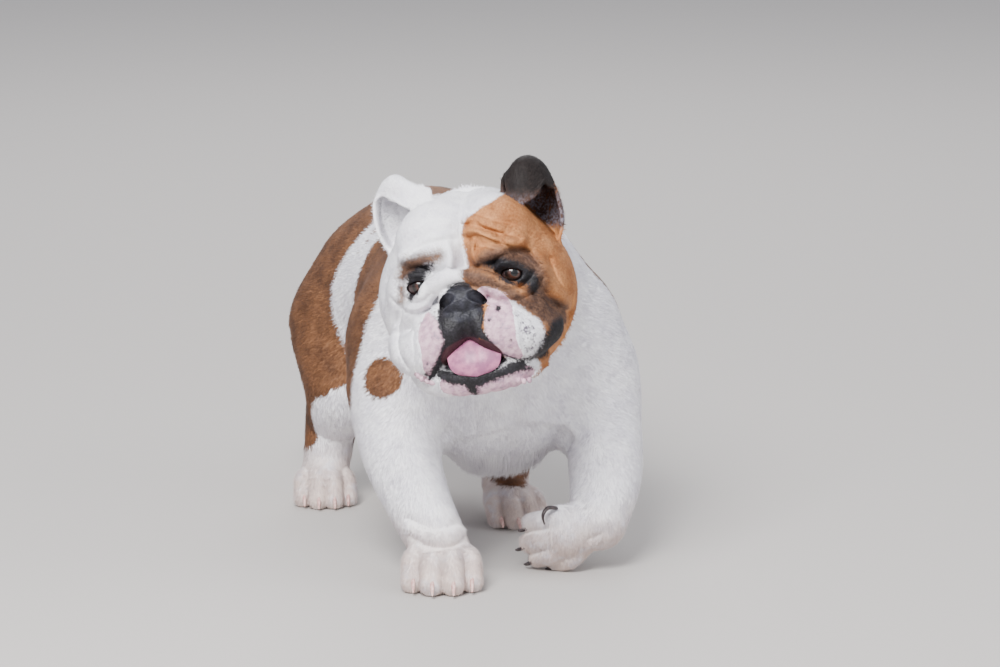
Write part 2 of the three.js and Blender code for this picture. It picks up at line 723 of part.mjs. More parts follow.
function makeEar(rows) {
  return solid(earLeather(rows)).subtract(solid(grown(headShell)));
}

const COAT_WHITE = { color: 0xe6e3e6, roughness: 0.85, metalness: 0 };
const COAT_TAN = { color: 0xa9713f, roughness: 0.85, metalness: 0 };
const EAR_DARK = { color: 0x4a3328, roughness: 0.8, metalness: 0 };
const NOSE_SKIN = { color: 0x1d1c22, roughness: 0.45, metalness: 0 };
const TONGUE_SKIN = { color: 0xc98a9c, roughness: 0.35, metalness: 0 };
const EYE_GLASS = { color: 0x2a1710, roughness: 0.05, metalness: 0 };

const model = new THREE.Group();

function place(name, whole, look) {
  const mesh = new THREE.Mesh(geometryOf(whole), new THREE.MeshStandardMaterial(look));
  mesh.name = name;
  model.add(mesh);
}

place('torso', makeTorso(), COAT_WHITE);
place('neck', makeNeck(), COAT_WHITE);
place('tail', makeTail(), COAT_TAN);
place('foreleg_right', makeLeg('foreleg_right', [PAWS[0]]), COAT_WHITE);
place('foreleg_left', makeLeg('foreleg_left', [PAWS[1]]), COAT_WHITE);
place('hindleg_left', makeLeg('hindleg_left', [PAWS[2]]), COAT_TAN);
place('hindleg_right', makeLeg('hindleg_right', [PAWS[3]]), COAT_TAN);
for (const paw of PAWS) {
  place(paw.name, makePaw(paw), COAT_WHITE);
}
place('head', makeHead(), COAT_WHITE);
place('ear_left', makeEar(LEFT_EAR), EAR_DARK);
place('ear_right', makeEar(RIGHT_EAR), COAT_WHITE);
place('nose', solid(noseShell), NOSE_SKIN);
place('tongue', solid(tongueShell), TONGUE_SKIN);
place('eye_left', solid(eyeBall(1, EYE_RADIUS)), EYE_GLASS);
place('eye_right', solid(eyeBall(-1, EYE_RADIUS)), EYE_GLASS);

// The origin is the middle of the footprint of the whole animal, on the floor.
const bounds = new THREE.Box3().setFromObject(model);
const middle = bounds.getCenter(new THREE.Vector3());
model.position.set(-middle.x, -middle.y, -bounds.min.z);

const bulldog = new THREE.Group();
bulldog.add(model);

export default bulldog;
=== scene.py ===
import math
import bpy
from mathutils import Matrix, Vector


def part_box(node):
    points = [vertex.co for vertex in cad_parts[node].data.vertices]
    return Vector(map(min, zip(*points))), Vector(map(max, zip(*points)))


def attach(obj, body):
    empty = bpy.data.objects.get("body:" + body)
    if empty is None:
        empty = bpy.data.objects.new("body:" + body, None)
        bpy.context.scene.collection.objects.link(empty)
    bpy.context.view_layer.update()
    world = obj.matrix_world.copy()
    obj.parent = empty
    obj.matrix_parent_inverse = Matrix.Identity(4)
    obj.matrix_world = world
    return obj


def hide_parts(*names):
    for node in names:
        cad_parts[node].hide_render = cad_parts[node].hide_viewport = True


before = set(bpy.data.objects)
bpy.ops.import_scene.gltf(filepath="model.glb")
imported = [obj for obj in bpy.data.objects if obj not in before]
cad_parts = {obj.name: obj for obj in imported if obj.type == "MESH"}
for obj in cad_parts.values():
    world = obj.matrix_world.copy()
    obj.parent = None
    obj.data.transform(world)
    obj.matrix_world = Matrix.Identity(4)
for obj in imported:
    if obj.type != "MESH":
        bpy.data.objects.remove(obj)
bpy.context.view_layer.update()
from concurrent.futures import ThreadPoolExecutor

import bpy
import numpy as np

# Camera: it stands about six metres off and one and a half metres up, a little to the dog's right, with
# a long lens. Points are worked out in millimetres on the walking dog's own grid, +X its left,
# -Y the way it walks, z = 0 the floor, and the left eyeball in the frame ties that grid to the model.
MM = 0.001
VIEW_SIDE = -18.0
VIEW_HEIGHT = 12.0
VIEW_DISTANCE = 5720.0
VIEW_TARGET = np.array((-47.5, -230.0, 271.0))
LENS = 200.0


def turn_matrix(yaw=0.0, pitch=0.0, roll=0.0):
    y, p, r = np.radians((yaw, pitch, roll))
    about_z = np.array(((np.cos(y), -np.sin(y), 0), (np.sin(y), np.cos(y), 0), (0, 0, 1)))
    about_x = np.array(((1, 0, 0), (0, np.cos(p), -np.sin(p)), (0, np.sin(p), np.cos(p))))
    about_y = np.array(((np.cos(r), 0, np.sin(r)), (0, 1, 0), (-np.sin(r), 0, np.cos(r))))
    return about_z @ about_x @ about_y


class Place:
    """A turned and shifted grid of its own, such as the head's."""

    def __init__(self, at=(0, 0, 0), yaw=0.0, pitch=0.0, roll=0.0, turn=None):
        self.at = np.array(at, float)
        self.turn = turn_matrix(yaw, pitch, roll) if turn is None else turn

    def inside(self, points):
        return (points - self.at) @ self.turn

    def out(self, points):
        return np.asarray(points, float) @ self.turn.T + self.at


HEAD = Place((-68, -213, 326), yaw=-25.5, pitch=-7.5, roll=-9.5)
EYE_MIDDLE = np.array((48.0, -74.0, 5.0))
left_eye_box = [np.array(corner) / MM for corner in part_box("eye_left")]
ROW_SHIFT = sum(left_eye_box) / 2 - HEAD.out(EYE_MIDDLE)


def metres(points):
    return (np.asarray(points, float) + ROW_SHIFT) * MM


side, height = math.radians(VIEW_SIDE), math.radians(VIEW_HEIGHT)
towards_camera = np.array((
    math.sin(side) * math.cos(height),
    -math.cos(side) * math.cos(height),
    math.sin(height),
))
camera = bpy.data.objects.new("camera", bpy.data.cameras.new("camera"))
bpy.context.scene.collection.objects.link(camera)
camera.location = metres(VIEW_TARGET + towards_camera * VIEW_DISTANCE)
camera.rotation_euler = (math.radians(90 - VIEW_HEIGHT), 0, side)
camera.data.lens = LENS
camera.data.sensor_width = 36
camera.data.clip_start, camera.data.clip_end = 0.5, 60
bpy.context.scene.camera = camera


# Shaders are written as expressions on sockets. This class stands for one socket of a material.
class Socket:
    def __init__(self, tree, link):
        self.tree = tree
        self.link = link

    def node(self, kind, settings=None, out=0, **sockets):
        made = self.tree.nodes.new("ShaderNode" + kind)
        for key, value in (settings or {}).items():
            setattr(made, key, value)
        for key, value in sockets.items():
            numbered = key[0] == "i" and key[1:].isdigit()
            target = made.inputs[int(key[1:]) if numbered else key.replace("_", " ")]
            if isinstance(value, Socket):
                self.tree.links.new(value.link, target)
            else:
                target.default_value = value
        return Socket(self.tree, made.outputs[out])

    def feed(self, socket):
        """Links this to a socket of the shader"""
        self.tree.links.new(self.link, socket)

    def maths(self, operation, a, b):
        return self.node("Math", {"operation": operation}, i0=a, i1=b)

    def __add__(self, other):
        return self.maths("ADD", self, other)

    def __radd__(self, other):
        return self.maths("ADD", other, self)

    def __sub__(self, other):
        return self.maths("SUBTRACT", self, other)

    def __rsub__(self, other):
        return self.maths("SUBTRACT", other, self)

    def __mul__(self, other):
        return self.maths("MULTIPLY", self, other)

    def __rmul__(self, other):
        return self.maths("MULTIPLY", other, self)

    def __truediv__(self, other):
        return self.maths("DIVIDE", self, other)

    def __rtruediv__(self, other):
        return self.maths("DIVIDE", other, self)

    def step(self, low, high):
        """0 below low, 1 above high and a smooth rise between them"""
        limits = dict(i0=self, i1=low, i2=high, i3=0.0, i4=1.0)
        return self.node("MapRange", {"interpolation_type": "SMOOTHSTEP"}, **limits)

    def mix(self, low, high):
        """low where this is 0, and high where it is 1, as colours"""
        return self.node("Mix", {"data_type": "RGBA"}, out=2, i0=self, i6=low, i7=high)


def rgb(red, green, blue):
    """A colour as it is seen on a screen, 0 to 255, in the linear values that shaders use."""
    channels = [c / 255 for c in (red, green, blue)]
    linear = [c / 12.92 if c <= 0.04045 else ((c + 0.055) / 1.055) ** 2.4 for c in channels]
    return (*linear, 1.0)


def new_material(name):
    material = bpy.data.materials.new(name)
    material.use_nodes = True
    tree = material.node_tree
    shader = tree.nodes["Principled BSDF"]
    return material, Socket(tree, None), shader


# Studio: a pale seamless floor, a broad soft light above the camera's left, a weak fill from the right,
# a light from behind and an even pale sky.
FLOOR_SIZE = 60.0
floor_mesh = bpy.data.meshes.new("floor")
half_floor = FLOOR_SIZE / 2
floor_corners = [(-half_floor, -half_floor, 0), (half_floor, -half_floor, 0)]
floor_corners += [(half_floor, half_floor, 0), (-half_floor, half_floor, 0)]
floor_mesh.from_pydata(floor_corners, [], [(0, 1, 2, 3)])
floor = bpy.data.objects.new("floor", floor_mesh)
bpy.context.scene.collection.objects.link(floor)
floor_material, make, shader = new_material("pale_floor")
shader.inputs["Base Color"].default_value = rgb(184, 179, 175)
shader.inputs["Roughness"].default_value = 0.9
floor_mesh.materials.append(floor_material)


def area_light(name, at, size, power, colour=(1, 1, 1)):
    light = bpy.data.objects.new(name, bpy.data.lights.new(name, "AREA"))
    bpy.context.scene.collection.objects.link(light)
    light.data.energy, light.data.size, light.data.color = power, size, colour
    light.location = at
    aim = np.array((0, -0.05, 0.2)) - np.array(at)
    across = math.hypot(aim[0], aim[1])
    light.rotation_euler = (math.atan2(across, -aim[2]), 0, math.atan2(-aim[0], aim[1]))


area_light("key", (-1.5, -2.1, 2.6), 1.6, 262)
area_light("fill", (2.4, -1.6, 1.5), 2.2, 34)
area_light("back", (0.8, 2.4, 2.4), 1.8, 60)
world = bpy.data.worlds.new("studio")
world.use_nodes = True
world.node_tree.nodes["Background"].inputs["Color"].default_value = (0.86, 0.9, 1.0, 1)
world.node_tree.nodes["Background"].inputs["Strength"].default_value = 0.76
bpy.context.scene.world = world


# Trunk: the barrel chest, low brisket, tucked loin and round haunches of an English bulldog. The whole
# skin is one surface: masses are melted together, hollows cut and folds raised, each as a distance.
RIB_CAGE = dict(at=(0, 15, 228), half=(118, 160, 132))
FORE_CHEST = dict(at=(0, -72, 196), half=(96, 84, 104))
SHOULDER = dict(at=(98, -34, 222), half=(52, 76, 74), tilt=(0, 0, -8))
UPPER_ARM = dict(at=(100, -80, 172), half=(46, 46, 58))
LOIN = dict(at=(0, 165, 240), half=(110, 128, 110))
HAUNCH = dict(at=(56, 222, 208), half=(62, 78, 88), tilt=(0, 8, 4))
WITHERS = dict(at=(0, -50, 288), half=(84, 84, 66))
NECK_LINE = ((0, -30, 282, 88), (-22, -90, 296, 88), (-50, -150, 312, 88))
BODY = Place()
flesh = []


def ball(at, half, tilt=(0, 0, 0)):
    at, half, turn = np.array(at, float), np.array(half, float), turn_matrix(*tilt)
    reach = half.max()

    def distance(points):
        q = (points - at) @ turn
        a = np.linalg.norm(q / half, axis=1)
        return a * (a - 1) / (np.linalg.norm(q / half**2, axis=1) + 1e-9)

    return distance, at - reach, at + reach


def smooth_line(points, count):
    """A smooth curve through all its points, of any number of columns"""
    points = np.array(points, float)
    ends = np.vstack((2 * points[0] - points[1], points, 2 * points[-1] - points[-2]))
    line = []
    for t in np.linspace(0, len(points) - 1, count):
        i = min(int(t), len(points) - 2)
        u = t - i
        a, b, c, d = ends[i:i + 4]
        squared, cubed = 2 * a - 5 * b + 4 * c - d, 3 * b - a - 3 * c + d
        line.append(0.5 * (2 * b + (c - a) * u + squared * u**2 + cubed * u**3))
    return np.array(line)


def hose(points, count=14, across=None):
    """A round limb or ridge along a curve, with its radius as the fourth number. With across, the axis of
    that number doesn't count, and the points leave it out."""
    line = smooth_line([(*p, 0)[:4 if across is None else 3] for p in points], count)
    axes = [axis for axis in range(3) if axis != across]
    middles, radii = line[:, :len(axes)], line[:, len(axes)]

    def distance(p):
        p = p[:, axes]
        nearest = np.full(len(p), 1e3)
        for i in range(count - 1):
            run = middles[i + 1] - middles[i]
            off = p - middles[i]
            along = np.clip((off @ run) / (run @ run), 0, 1)
            off = np.sqrt(((off - along[:, None] * run) ** 2).sum(1))
            nearest = np.minimum(nearest, off - radii[i] - (radii[i + 1] - radii[i]) * along)
        return nearest

    low, high = np.full(3, -200.0), np.full(3, -20.0)
    low[axes], high[axes] = (middles - radii[:, None]).min(0), (middles + radii[:, None]).max(0)
    return distance, low, high


def add(form, blend, place=BODY, both=False):
    flesh.append(("add", form, blend, place, both))


def cut(form, blend, place=BODY, both=False):
    flesh.append(("cut", form, blend, place, both))


def fold(points, width, lift, place=BODY, both=False, count=14):
    """A ridge along a curve, or a sharper groove where lift is below zero"""
    flesh.append(("fold", hose(points, count), (width, lift), place, both))


add(ball(**RIB_CAGE), 20)
add(ball(**FORE_CHEST), 30)
add(ball(**SHOULDER), 36, both=True)
add(ball(**UPPER_ARM), 30, both=True)
add(ball(**LOIN), 36)
add(ball(**HAUNCH), 36, both=True)
add(ball(**WITHERS), 36)
add(hose(NECK_LINE, 24), 36)

# Legs: thick, bowed forelegs with big knuckled paws. The right foreleg is planted, the left one is
# lifted with its wrist bent inwards, the left hind leg reaches forward and the right one trails.
PLANTED_FORELEG = ((-108, -60, 175, 48), (-118, -105, 128, 41), (-112, -150, 80, 34), (-101, -184, 44, 30))
LIFTED_FORELEG = ((108, -60, 182, 48), (105, -108, 138, 42), (95, -152, 94, 38), (76, -184, 52, 30))
TRAILING_HINDLEG = ((-75, 225, 190, 66), (-90, 185, 130, 46), (-98, 214, 85, 30), (-106, 212, 42, 25))
LEADING_HINDLEG = ((75, 215, 190, 66), (88, 140, 130, 44), (76, 132, 85, 29), (58, 76, 36, 25))
for line in (PLANTED_FORELEG, LIFTED_FORELEG, TRAILING_HINDLEG, LEADING_HINDLEG):
    add(hose(line, 26), 25)


def along(at, toes, back):
    """The place of a paw whose toes point along toes, with its back towards back"""
    y = -np.array(toes) / np.linalg.norm(toes)
    x = np.cross(y, back)
    x /= np.linalg.norm(x)
    return Place(at, turn=np.stack((x, y, np.cross(x, y)), 1))


PAWS = {
    "planted": (Place((-100, -193, 0), yaw=-16), 1.0, 1.0),
    "lifted": (along((50, -160, 42), (-0.84, 0.1, -0.48), (-0.05, -0.95, 0.1)), 0.9, 0.92),
    "leading": (Place((54, 48, 0), yaw=2), 0.9, 0.88),
    "trailing": (Place((-112, 200, 0), yaw=-14), 0.9, 0.88),
}
TOES = ((-29, -22), (-10.5, -36), (10.5, -36), (29, -22))


def sized(points, size):
    return [tuple(value * size for value in p) for p in points]


for place, width, size in PAWS.values():
    add(ball((0, -4 * size, 30 * size), (31 * width * size, 30 * size, 24 * size)), 12, place)
    add(ball((0, 10 * size, 13 * size), (20 * size, 16 * size, 14.5 * size)), 8, place)
    for x, y in TOES:
        x *= width
        toe = ((0.6 * x, y + 34, 30, 13), (0.95 * x, y + 8, 29, 12.5), (1.05 * x, y - 10, 10.5, 12))
        add(hose(sized(toe, size), 10), 4, place)

add(ball((32, -187, 60), (12, 11, 12)), 6)

# Chest and wrist folds: a groove between the two halves of the breast, slack folds across it and in the
# armpits, and wrinkles above the planted paw. They are skin, raised or sunk on the masses below.
fold(((-4, -158, 172), (-7, -150, 146), (-9, -136, 116)), 6, -8)
fold(((-72, -112, 122), (-46, -132, 132), (-18, -146, 142)), 6, -7)
fold(((-66, -122, 134), (-40, -142, 143), (-14, -152, 153)), 8, 4)
fold(((2, -150, 148), (30, -146, 142), (60, -132, 132)), 6, -7)
fold(((6, -156, 158), (32, -152, 152), (62, -138, 142)), 8, 4)
fold(((-40, -158, 192), (4, -168, 180), (50, -154, 188)), 9, -6)
fold(((-30, -160, 176), (4, -166, 166), (40, -156, 172)), 8, 4)
fold(((-86, -96, 160), (-70, -118, 150), (-58, -124, 130)), 7, -5)
fold(((74, -112, 150), (66, -126, 132), (70, -122, 112)), 6, -6)
fold(((-134, -190, 52), (-122, -212, 47), (-100, -217, 45), (-78, -206, 50)), 4, -4.5)
fold(((-134, -186, 61), (-120, -206, 56), (-100, -210, 54), (-78, -200, 58)), 5, 3)
fold(((-132, -180, 70), (-118, -202, 66), (-100, -206, 64), (-80, -196, 68)), 4, -3.5)
fold(((96, -196, 66), (78, -208, 52), (58, -206, 40)), 5, -3)

# Tail: flesh under skin, short, thick at the root and hanging close to the rump. It is a tapered limb
# melted into the haunches.
add(hose(((0, 284, 264, 22), (4, 314, 254, 15), (14, 330, 238, 9))), 12)

# Head: a broad, square skull under thick skin, turned to its right and tipped. Its own grid has the nose
# along -Y, and its masses are melted together like the trunk's.
add(ball((0, 22, 26), (76, 86, 68)), 20, HEAD)
add(ball((28, -32, 44), (44, 46, 42)), 20, HEAD, both=True)
add(ball((64, 0, -16), (38, 64, 58)), 24, HEAD, both=True)
add(ball((37, -68, 30), (30, 20, 13), (0, 0, -14)), 12, HEAD, both=True)
add(ball((0, -50, -36), (60, 44, 54)), 20, HEAD)
add(ball((0, -12, -70), (70, 62, 42)), 30, HEAD)

# Mouth: an open front under two hanging upper lips, over a broad lower jaw. The hollow is cut from the
# head, and jaw and lips are limbs bent round it.
add(ball((0, -42, -92), (54, 46, 21)), 14, HEAD)
MOUTH_HOLLOW = dict(at=(0, -92, -70), half=(32, 44, 17))
cut(ball(**MOUTH_HOLLOW), 5, HEAD)
JAW = ((-60, -48, -86, 14), (-42, -78, -95, 14), (0, -96, -99, 13), (42, -78, -95, 14), (60, -48, -86, 14))
UPPER_LIP_LEFT = ((8, -100, -36, 17), (28, -98, -49, 23), (52, -84, -59, 25), (74, -58, -56, 20))
UPPER_LIP_RIGHT = ((-8, -100, -36, 17), (-28, -98, -47, 21), (-53, -85, -63, 25), (-72, -58, -58, 20))
UNDER_ROLL_LEFT = ((24, -92, -27, 14), (44, -88, -35, 16), (62, -78, -42, 14))
UNDER_ROLL_RIGHT = ((-26, -92, -26, 12), (-46, -84, -35, 13))
add(hose(JAW, 20), 6, HEAD)
add(hose(UPPER_LIP_LEFT, 18), 6, HEAD)
add(hose(UPPER_LIP_RIGHT, 18), 6, HEAD)
add(hose(UNDER_ROLL_LEFT, 14), 8, HEAD)
add(hose(UNDER_ROLL_RIGHT, 8), 8, HEAD)
fold(((0, -118, -26), (0, -117, -38), (0, -112, -52)), 3.5, -6, HEAD)

# Nose roll and nose: a thick fold of skin bends over a short, broad nose of bare, moist skin. The
# comma-shaped nostrils and the groove between them are cut into it.
NOSE_ROLL = (
    (-88, -38, -58, 7), (-68, -66, -34, 10), (-46, -90, -10, 10), (-24, -103, 7, 9.5), (0, -108, 12, 8.5),
    (20, -106, 5, 10), (38, -98, -9, 12), (56, -86, -26, 12.5), (72, -68, -39, 12), (88, -40, -52, 8),
)
NOSTRIL = ((7, -118.5, -5, 3.6), (12.5, -116, -9, 5.8), (18.5, -109, -15, 4.6), (22, -101, -19, 2.6))
add(hose(NOSE_ROLL, 36), 4, HEAD)
add(ball((-2, -98, -15), (23, 18, 18)), 3, HEAD)
for side_sign in (-1, 1):
    add(ball((-2 + 13 * side_sign, -103, -13), (11, 13, 12.5)), 4, HEAD)
    cut(hose([(-2 + x * side_sign, y, z, r) for x, y, z, r in NOSTRIL], 12), 1.4, HEAD)
fold(((-2, -118, 4), (-2, -120, -14), (-2, -119, -32), (-1, -114, -50)), 2.2, -4, HEAD)


def wrinkle(points, width, lift, both=False, count=16):
    """A ridge or groove on the front of the head, drawn from the front as x and z"""
    flesh.append(("fold", hose([(*p, 0) for p in points], count, across=1), (width, lift), HEAD, both))


# Lids: each eye lies wide and low in a bulge of skin with an almond opening. The lids are thick rims
# round the opening, with a fold above and a bag below.
LID_REACH = 16
EYE_OPENING = (12.8, 7.6)
OPENING_SHIFT = (1.5, -0.8)
LID_EDGE = 0.3
BALL_HOLLOW = 12.9


def lid_rim(places=24):
    """A ring on the bulge of the lids, just outside the opening, thicker on the upper lid"""
    ring = []
    for t in np.linspace(0, 2 * np.pi, places):
        x = OPENING_SHIFT[0] + (EYE_OPENING[0] + LID_EDGE) * np.cos(t)
        z = OPENING_SHIFT[1] + (EYE_OPENING[1] + LID_EDGE) * np.sin(t)
        y = -math.sqrt(LID_REACH**2 - x**2 - z**2)
        thick = 0.9 if t > np.pi else 1.7
        ring.append((EYE_MIDDLE[0] + x, EYE_MIDDLE[1] + y + 0.8, EYE_MIDDLE[2] + z - 0.12 * x, thick))
    return ring


add(ball((47, -56, 2), (36, 25, 28)), 14, HEAD, both=True)
add(ball(EYE_MIDDLE, (LID_REACH,) * 3), 5, HEAD, both=True)
opening_at = EYE_MIDDLE + (OPENING_SHIFT[0], -15, OPENING_SHIFT[1])
cut(ball(opening_at, (EYE_OPENING[0], 12, EYE_OPENING[1]), (0, 0, 7)), 1.2, HEAD, both=True)
add(hose(lid_rim(), 40), 1.2, HEAD, both=True)
cut(ball(EYE_MIDDLE, (BALL_HOLLOW,) * 3), 0.4, HEAD, both=True)
add(hose(((34, -84, 12, 3), (44, -89, 16.5, 4), (56, -86, 15, 4), (66, -76, 6, 3)), 12), 3, HEAD, both=True)
wrinkle(((31, 16), (40, 23), (52, 23.5), (64, 17), (72, 5)), 2.4, -2.2, both=True)
wrinkle(((32, -3), (42, -9.5), (54, -10.5), (66, -3), (71, 4)), 2.2, -2, both=True)
wrinkle(((38, -14), (52, -17), (66, -12), (74, -2)), 3, 1.6, both=True)
wrinkle(((38, -18.5), (54, -22), (69, -17), (79, -4)), 2, -1.6, both=True)

# Wrinkles of the brow, forehead and cheeks: loose skin in ridges and grooves, drawn as lines on the
# front of the head. Those of the left half are more and deeper.
wrinkle(((1, 100), (3, 62), (1, 36), (2, 19)), 11, -5)
wrinkle(((9, 46), (18, 42), (30, 37), (54, 29), (66, 22), (75, 8)), 4.4, -5.5)
wrinkle(((8, 52), (22, 50), (36, 44), (54, 36)), 5.5, 3.6)
wrinkle(((10, 58), (20, 56), (34, 50), (48, 44), (60, 38)), 3.4, -4)
wrinkle(((7, 64), (18, 63), (30, 57), (42, 51)), 5, 4.2)
wrinkle(((9, 71), (22, 67), (38, 59), (54, 53)), 3.4, -2.8)
wrinkle(((4, 58), (18, 62), (25, 54), (39, 47), (45, 38)), 2.4, -3.2)
wrinkle(((5, 53), (14, 55), (24, 49), (36, 42)), 3, 3.4)
wrinkle(((10, 46), (18, 48), (28, 44), (39, 37), (49, 33)), 2, -2.8)
wrinkle(((8, 40), (20, 41), (32, 37), (44, 31)), 2.8, 2.2)
wrinkle(((15, 33), (24, 35), (33, 32), (53, 26)), 2, -2)
wrinkle(((14, 20), (11, 30), (14, 42)), 3, 3)
wrinkle(((20, 30), (16, 36), (18, 47)), 2.2, -2)
wrinkle(((-7, 46), (-20, 47), (-38, 44), (-56, 34), (-65, 20)), 3.6, -3.2)
wrinkle(((-8, 56), (-24, 57), (-42, 52)), 3, -1.8)
wrinkle(((-12, 66), (-26, 68), (-44, 62)), 3, -1.4)
wrinkle(((-12, 20), (-10, 32), (-12, 44)), 3, 2)
wrinkle(((-64, 12), (-68, -6), (-74, -28), (-77, -50), (-69, -74)), 4.4, -3)
wrinkle(((-74, 8), (-80, -14), (-86, -36), (-84, -62)), 6, 1.6)
wrinkle(((-84, 14), (-92, -10), (-96, -34), (-92, -60)), 5, -1.8)
wrinkle(((73, -6), (76, -20), (83, -33)), 2.2, -2.2)
wrinkle(((79, 2), (84, -14), (92, -30)), 3, 1.8)
wrinkle(((84, 12), (90, -12), (97, -34), (94, -56)), 3, -2.6)
wrinkle(((84, -36), (93, -52), (85, -70), (68, -90), (50, -101)), 4.5, -5)
wrinkle(((56, -15), (70, -27), (84, -37)), 1.8, -1.6)
wrinkle(((46, -26), (60, -39), (74, -48)), 2, -1.8)

# Lips: the upper ones are loose and padded, each with a few shallow upright creases, over a thick
# lower lip of bare skin.
wrinkle(((19, -24), (15, -40), (19, -56)), 2.4, -1.8)
wrinkle(((-27, -26), (-25, -44), (-23, -56), (-31, -70)), 2.4, -1.8)
wrinkle(((38, -34), (35, -52), (40, -70)), 3.4, -1.3)
wrinkle(((56, -44), (54, -60), (58, -76)), 3.4, -1.1)
wrinkle(((-40, -32), (-38, -50), (-45, -72)), 3.4, -1.3)
wrinkle(((-56, -40), (-58, -58), (-60, -78)), 3.4, -1.5)
LOWER_LIP = (
    (-44, -88, -88, 4), (-26, -99, -91, 5), (0, -104.5, -92, 5.6), (26, -100, -91, 5), (48, -86, -85, 4),
)
add(hose(LOWER_LIP, 20), 10, HEAD)
for x in (-26, -9, 12, 30, 44):
    wrinkle(((x, -97), (x + 2, -106), (x - 1, -114)), 2.2, -1.4)

# Lip frills: small soft points of pink skin, where the lower lip comes out from under the upper ones.
# Each is a small bead melted into the lip.
LIP_FRILLS = (
    (-59, -98, -84), (-56, -97, -88), (-51, -94, -91), (-47, -93, -93.5),
    (41, -92, -103), (46, -89, -105), (51, -84, -105),
)
for at in LIP_FRILLS:
    add(ball(at, (2.6, 3.4, 3.2)), 1.2, HEAD)

# Ears: thin leather, set high and wide, and folded over, each with an open cup to the side. Rows run
# from the root to the tip, and each row from the front edge round the back to the other edge.
LEFT_EAR = (
    ((42, -8, 70), (50, 22, 68), (70, 34, 52), (85, 24, 28), (87, 0, 20)),
    ((44, -8, 96), (54, 20, 98), (75, 32, 86), (95, 18, 60), (97, 0, 46)),
    ((53, -4, 107), (62, 10, 113), (74, 16, 113), (87, 10, 102), (95, 0, 80)),
    ((50, -17, 101), (60, -17, 111), (72, -15, 112), (84, -9, 102), (90, -8, 86)),
    ((51, -25, 84), (57, -30, 77), (65, -31, 75), (75, -28, 79), (86, -16, 90)),
)
RIGHT_EAR = (
    ((-40, -6, 70), (-48, 20, 70), (-66, 32, 54), (-80, 24, 36), (-80, 2, 32)),
    ((-48, -8, 92), (-54, 18, 100), (-72, 28, 92), (-90, 14, 72), (-92, -2, 60)),
    ((-56, -6, 104), (-62, 8, 113), (-72, 12, 115), (-84, 8, 106), (-92, 0, 91)),
    ((-46, -17, 104), (-54, -17, 109), (-63, -17, 111), (-73, -12, 109), (-82, -6, 102)),
    ((-33, -20, 97), (-33, -24, 90), (-38, -27, 86), (-50, -29, 85), (-65, -22, 92)),
)
EAR_THICKNESS = 3.6


def leather(rows, thickness, count=52):
    """A bent sheet through the rows"""
    long = np.stack([smooth_line(row, count) for row in rows])
    grid = np.stack([smooth_line(long[:, i], count) for i in range(count)], 1)
    normal = np.cross(np.gradient(grid, axis=0), np.gradient(grid, axis=1)).reshape(-1, 3)
    knots = grid.reshape(-1, 3)
    normal /= np.linalg.norm(normal, axis=1)[:, None]
    knot_reach = 2.0

    def distance(points):
        square = (knots**2).sum(1) - 2 * points @ knots.T
        near = square.argmin(1)
        offset = points - knots[near]
        rise = (offset * normal[near]).sum(1)
        aside = np.sqrt(np.maximum((offset**2).sum(1) - rise**2, 0)) - knot_reach
        return np.hypot(rise, np.maximum(aside, 0)) - thickness / 2

    return distance, knots.min(0) - thickness, knots.max(0) + thickness


for rows in (LEFT_EAR, RIGHT_EAR):
    add(leather(rows, EAR_THICKNESS), 5, HEAD)


# Skin: the surface of all that flesh, as one closed mesh that takes the place of every node of flesh.
# It is made on a grid whose steps are fine at the head, then refined round the eyes, nose and lips.
def blend_min(a, b, width):
    share = np.clip(0.5 + 0.5 * (a - b) / width, 0, 1)
    return a + (b - a) * share - width * share * (1 - share)


FAR_OUTSIDE = 60.0
NEAR_MARGIN = 16


def distance_part(points):
    result = np.full(len(points), FAR_OUTSIDE)
    grids = {}
    for kind, (distance, low, high), blend, place, both in flesh:
        if (id(place), both) not in grids:
            local = place.inside(points)
            if both:
                local[:, 0] = np.abs(local[:, 0])
            grids[id(place), both] = local, local.min(0), local.max(0)
        local, lowest, highest = grids[id(place), both]
        margin = 4 * blend[0] if kind == "fold" else blend + NEAR_MARGIN
        if (highest < low - margin).any() or (lowest > high + margin).any():
            continue
        near = np.nonzero(((local > low - margin) & (local < high + margin)).all(1))[0]
        if not len(near):
            continue
        d, form = result[near], distance(local[near])
        if kind == "add":
            result[near] = blend_min(d, form, blend)
        elif kind == "cut":
            result[near] = -blend_min(-d, form, blend)
        else:
            width, lift = blend
            result[near] = d - lift * np.exp(-((np.abs(form) / width) ** (2 if lift > 0 else 1.3)))
    return result


WORKERS = ThreadPoolExecutor(4)
BLOCK = 6000


def flesh_distance(points):
    """The distance from each point to the surface of the flesh, below zero inside it"""
    if not len(points):
        return np.zeros(0)
    parts = [points[i:i + BLOCK] for i in range(0, len(points), BLOCK)]
    return np.concatenate(list(WORKERS.map(distance_part, parts)))


CORNERS = np.array(((1, 1, 1), (1, -1, -1), (-1, 1, -1), (-1, -1, 1)), float)


def distance_and_slope(points, reach=0.4):
    values = flesh_distance((points + reach * CORNERS[:, None]).reshape(-1, 3)).reshape(4, -1)
    return values.mean(0), values.T @ CORNERS / (4 * reach)


def settle(points, limit, rounds=2):
    """Draws points onto the surface of the flesh"""
    for _ in range(rounds):
        value, uphill = distance_and_slope(points)
        move = -value[:, None] * uphill / np.maximum((uphill**2).sum(1), 0.2)[:, None]
        length = np.linalg.norm(move, axis=1)
        points = points + move * np.minimum(1, limit / np.maximum(length, 1e-9))[:, None]
    return points


def graded(low, high, fine_low, fine_high, coarse, fine):
    """Places along one axis, close together between fine_low and fine_high"""
    before = np.arange(fine_low - coarse, low - coarse, -coarse)[::-1]
    middle = np.arange(fine_low, fine_high, fine)
    return np.concatenate((before, middle, np.arange(middle[-1] + fine, high + coarse, coarse)))


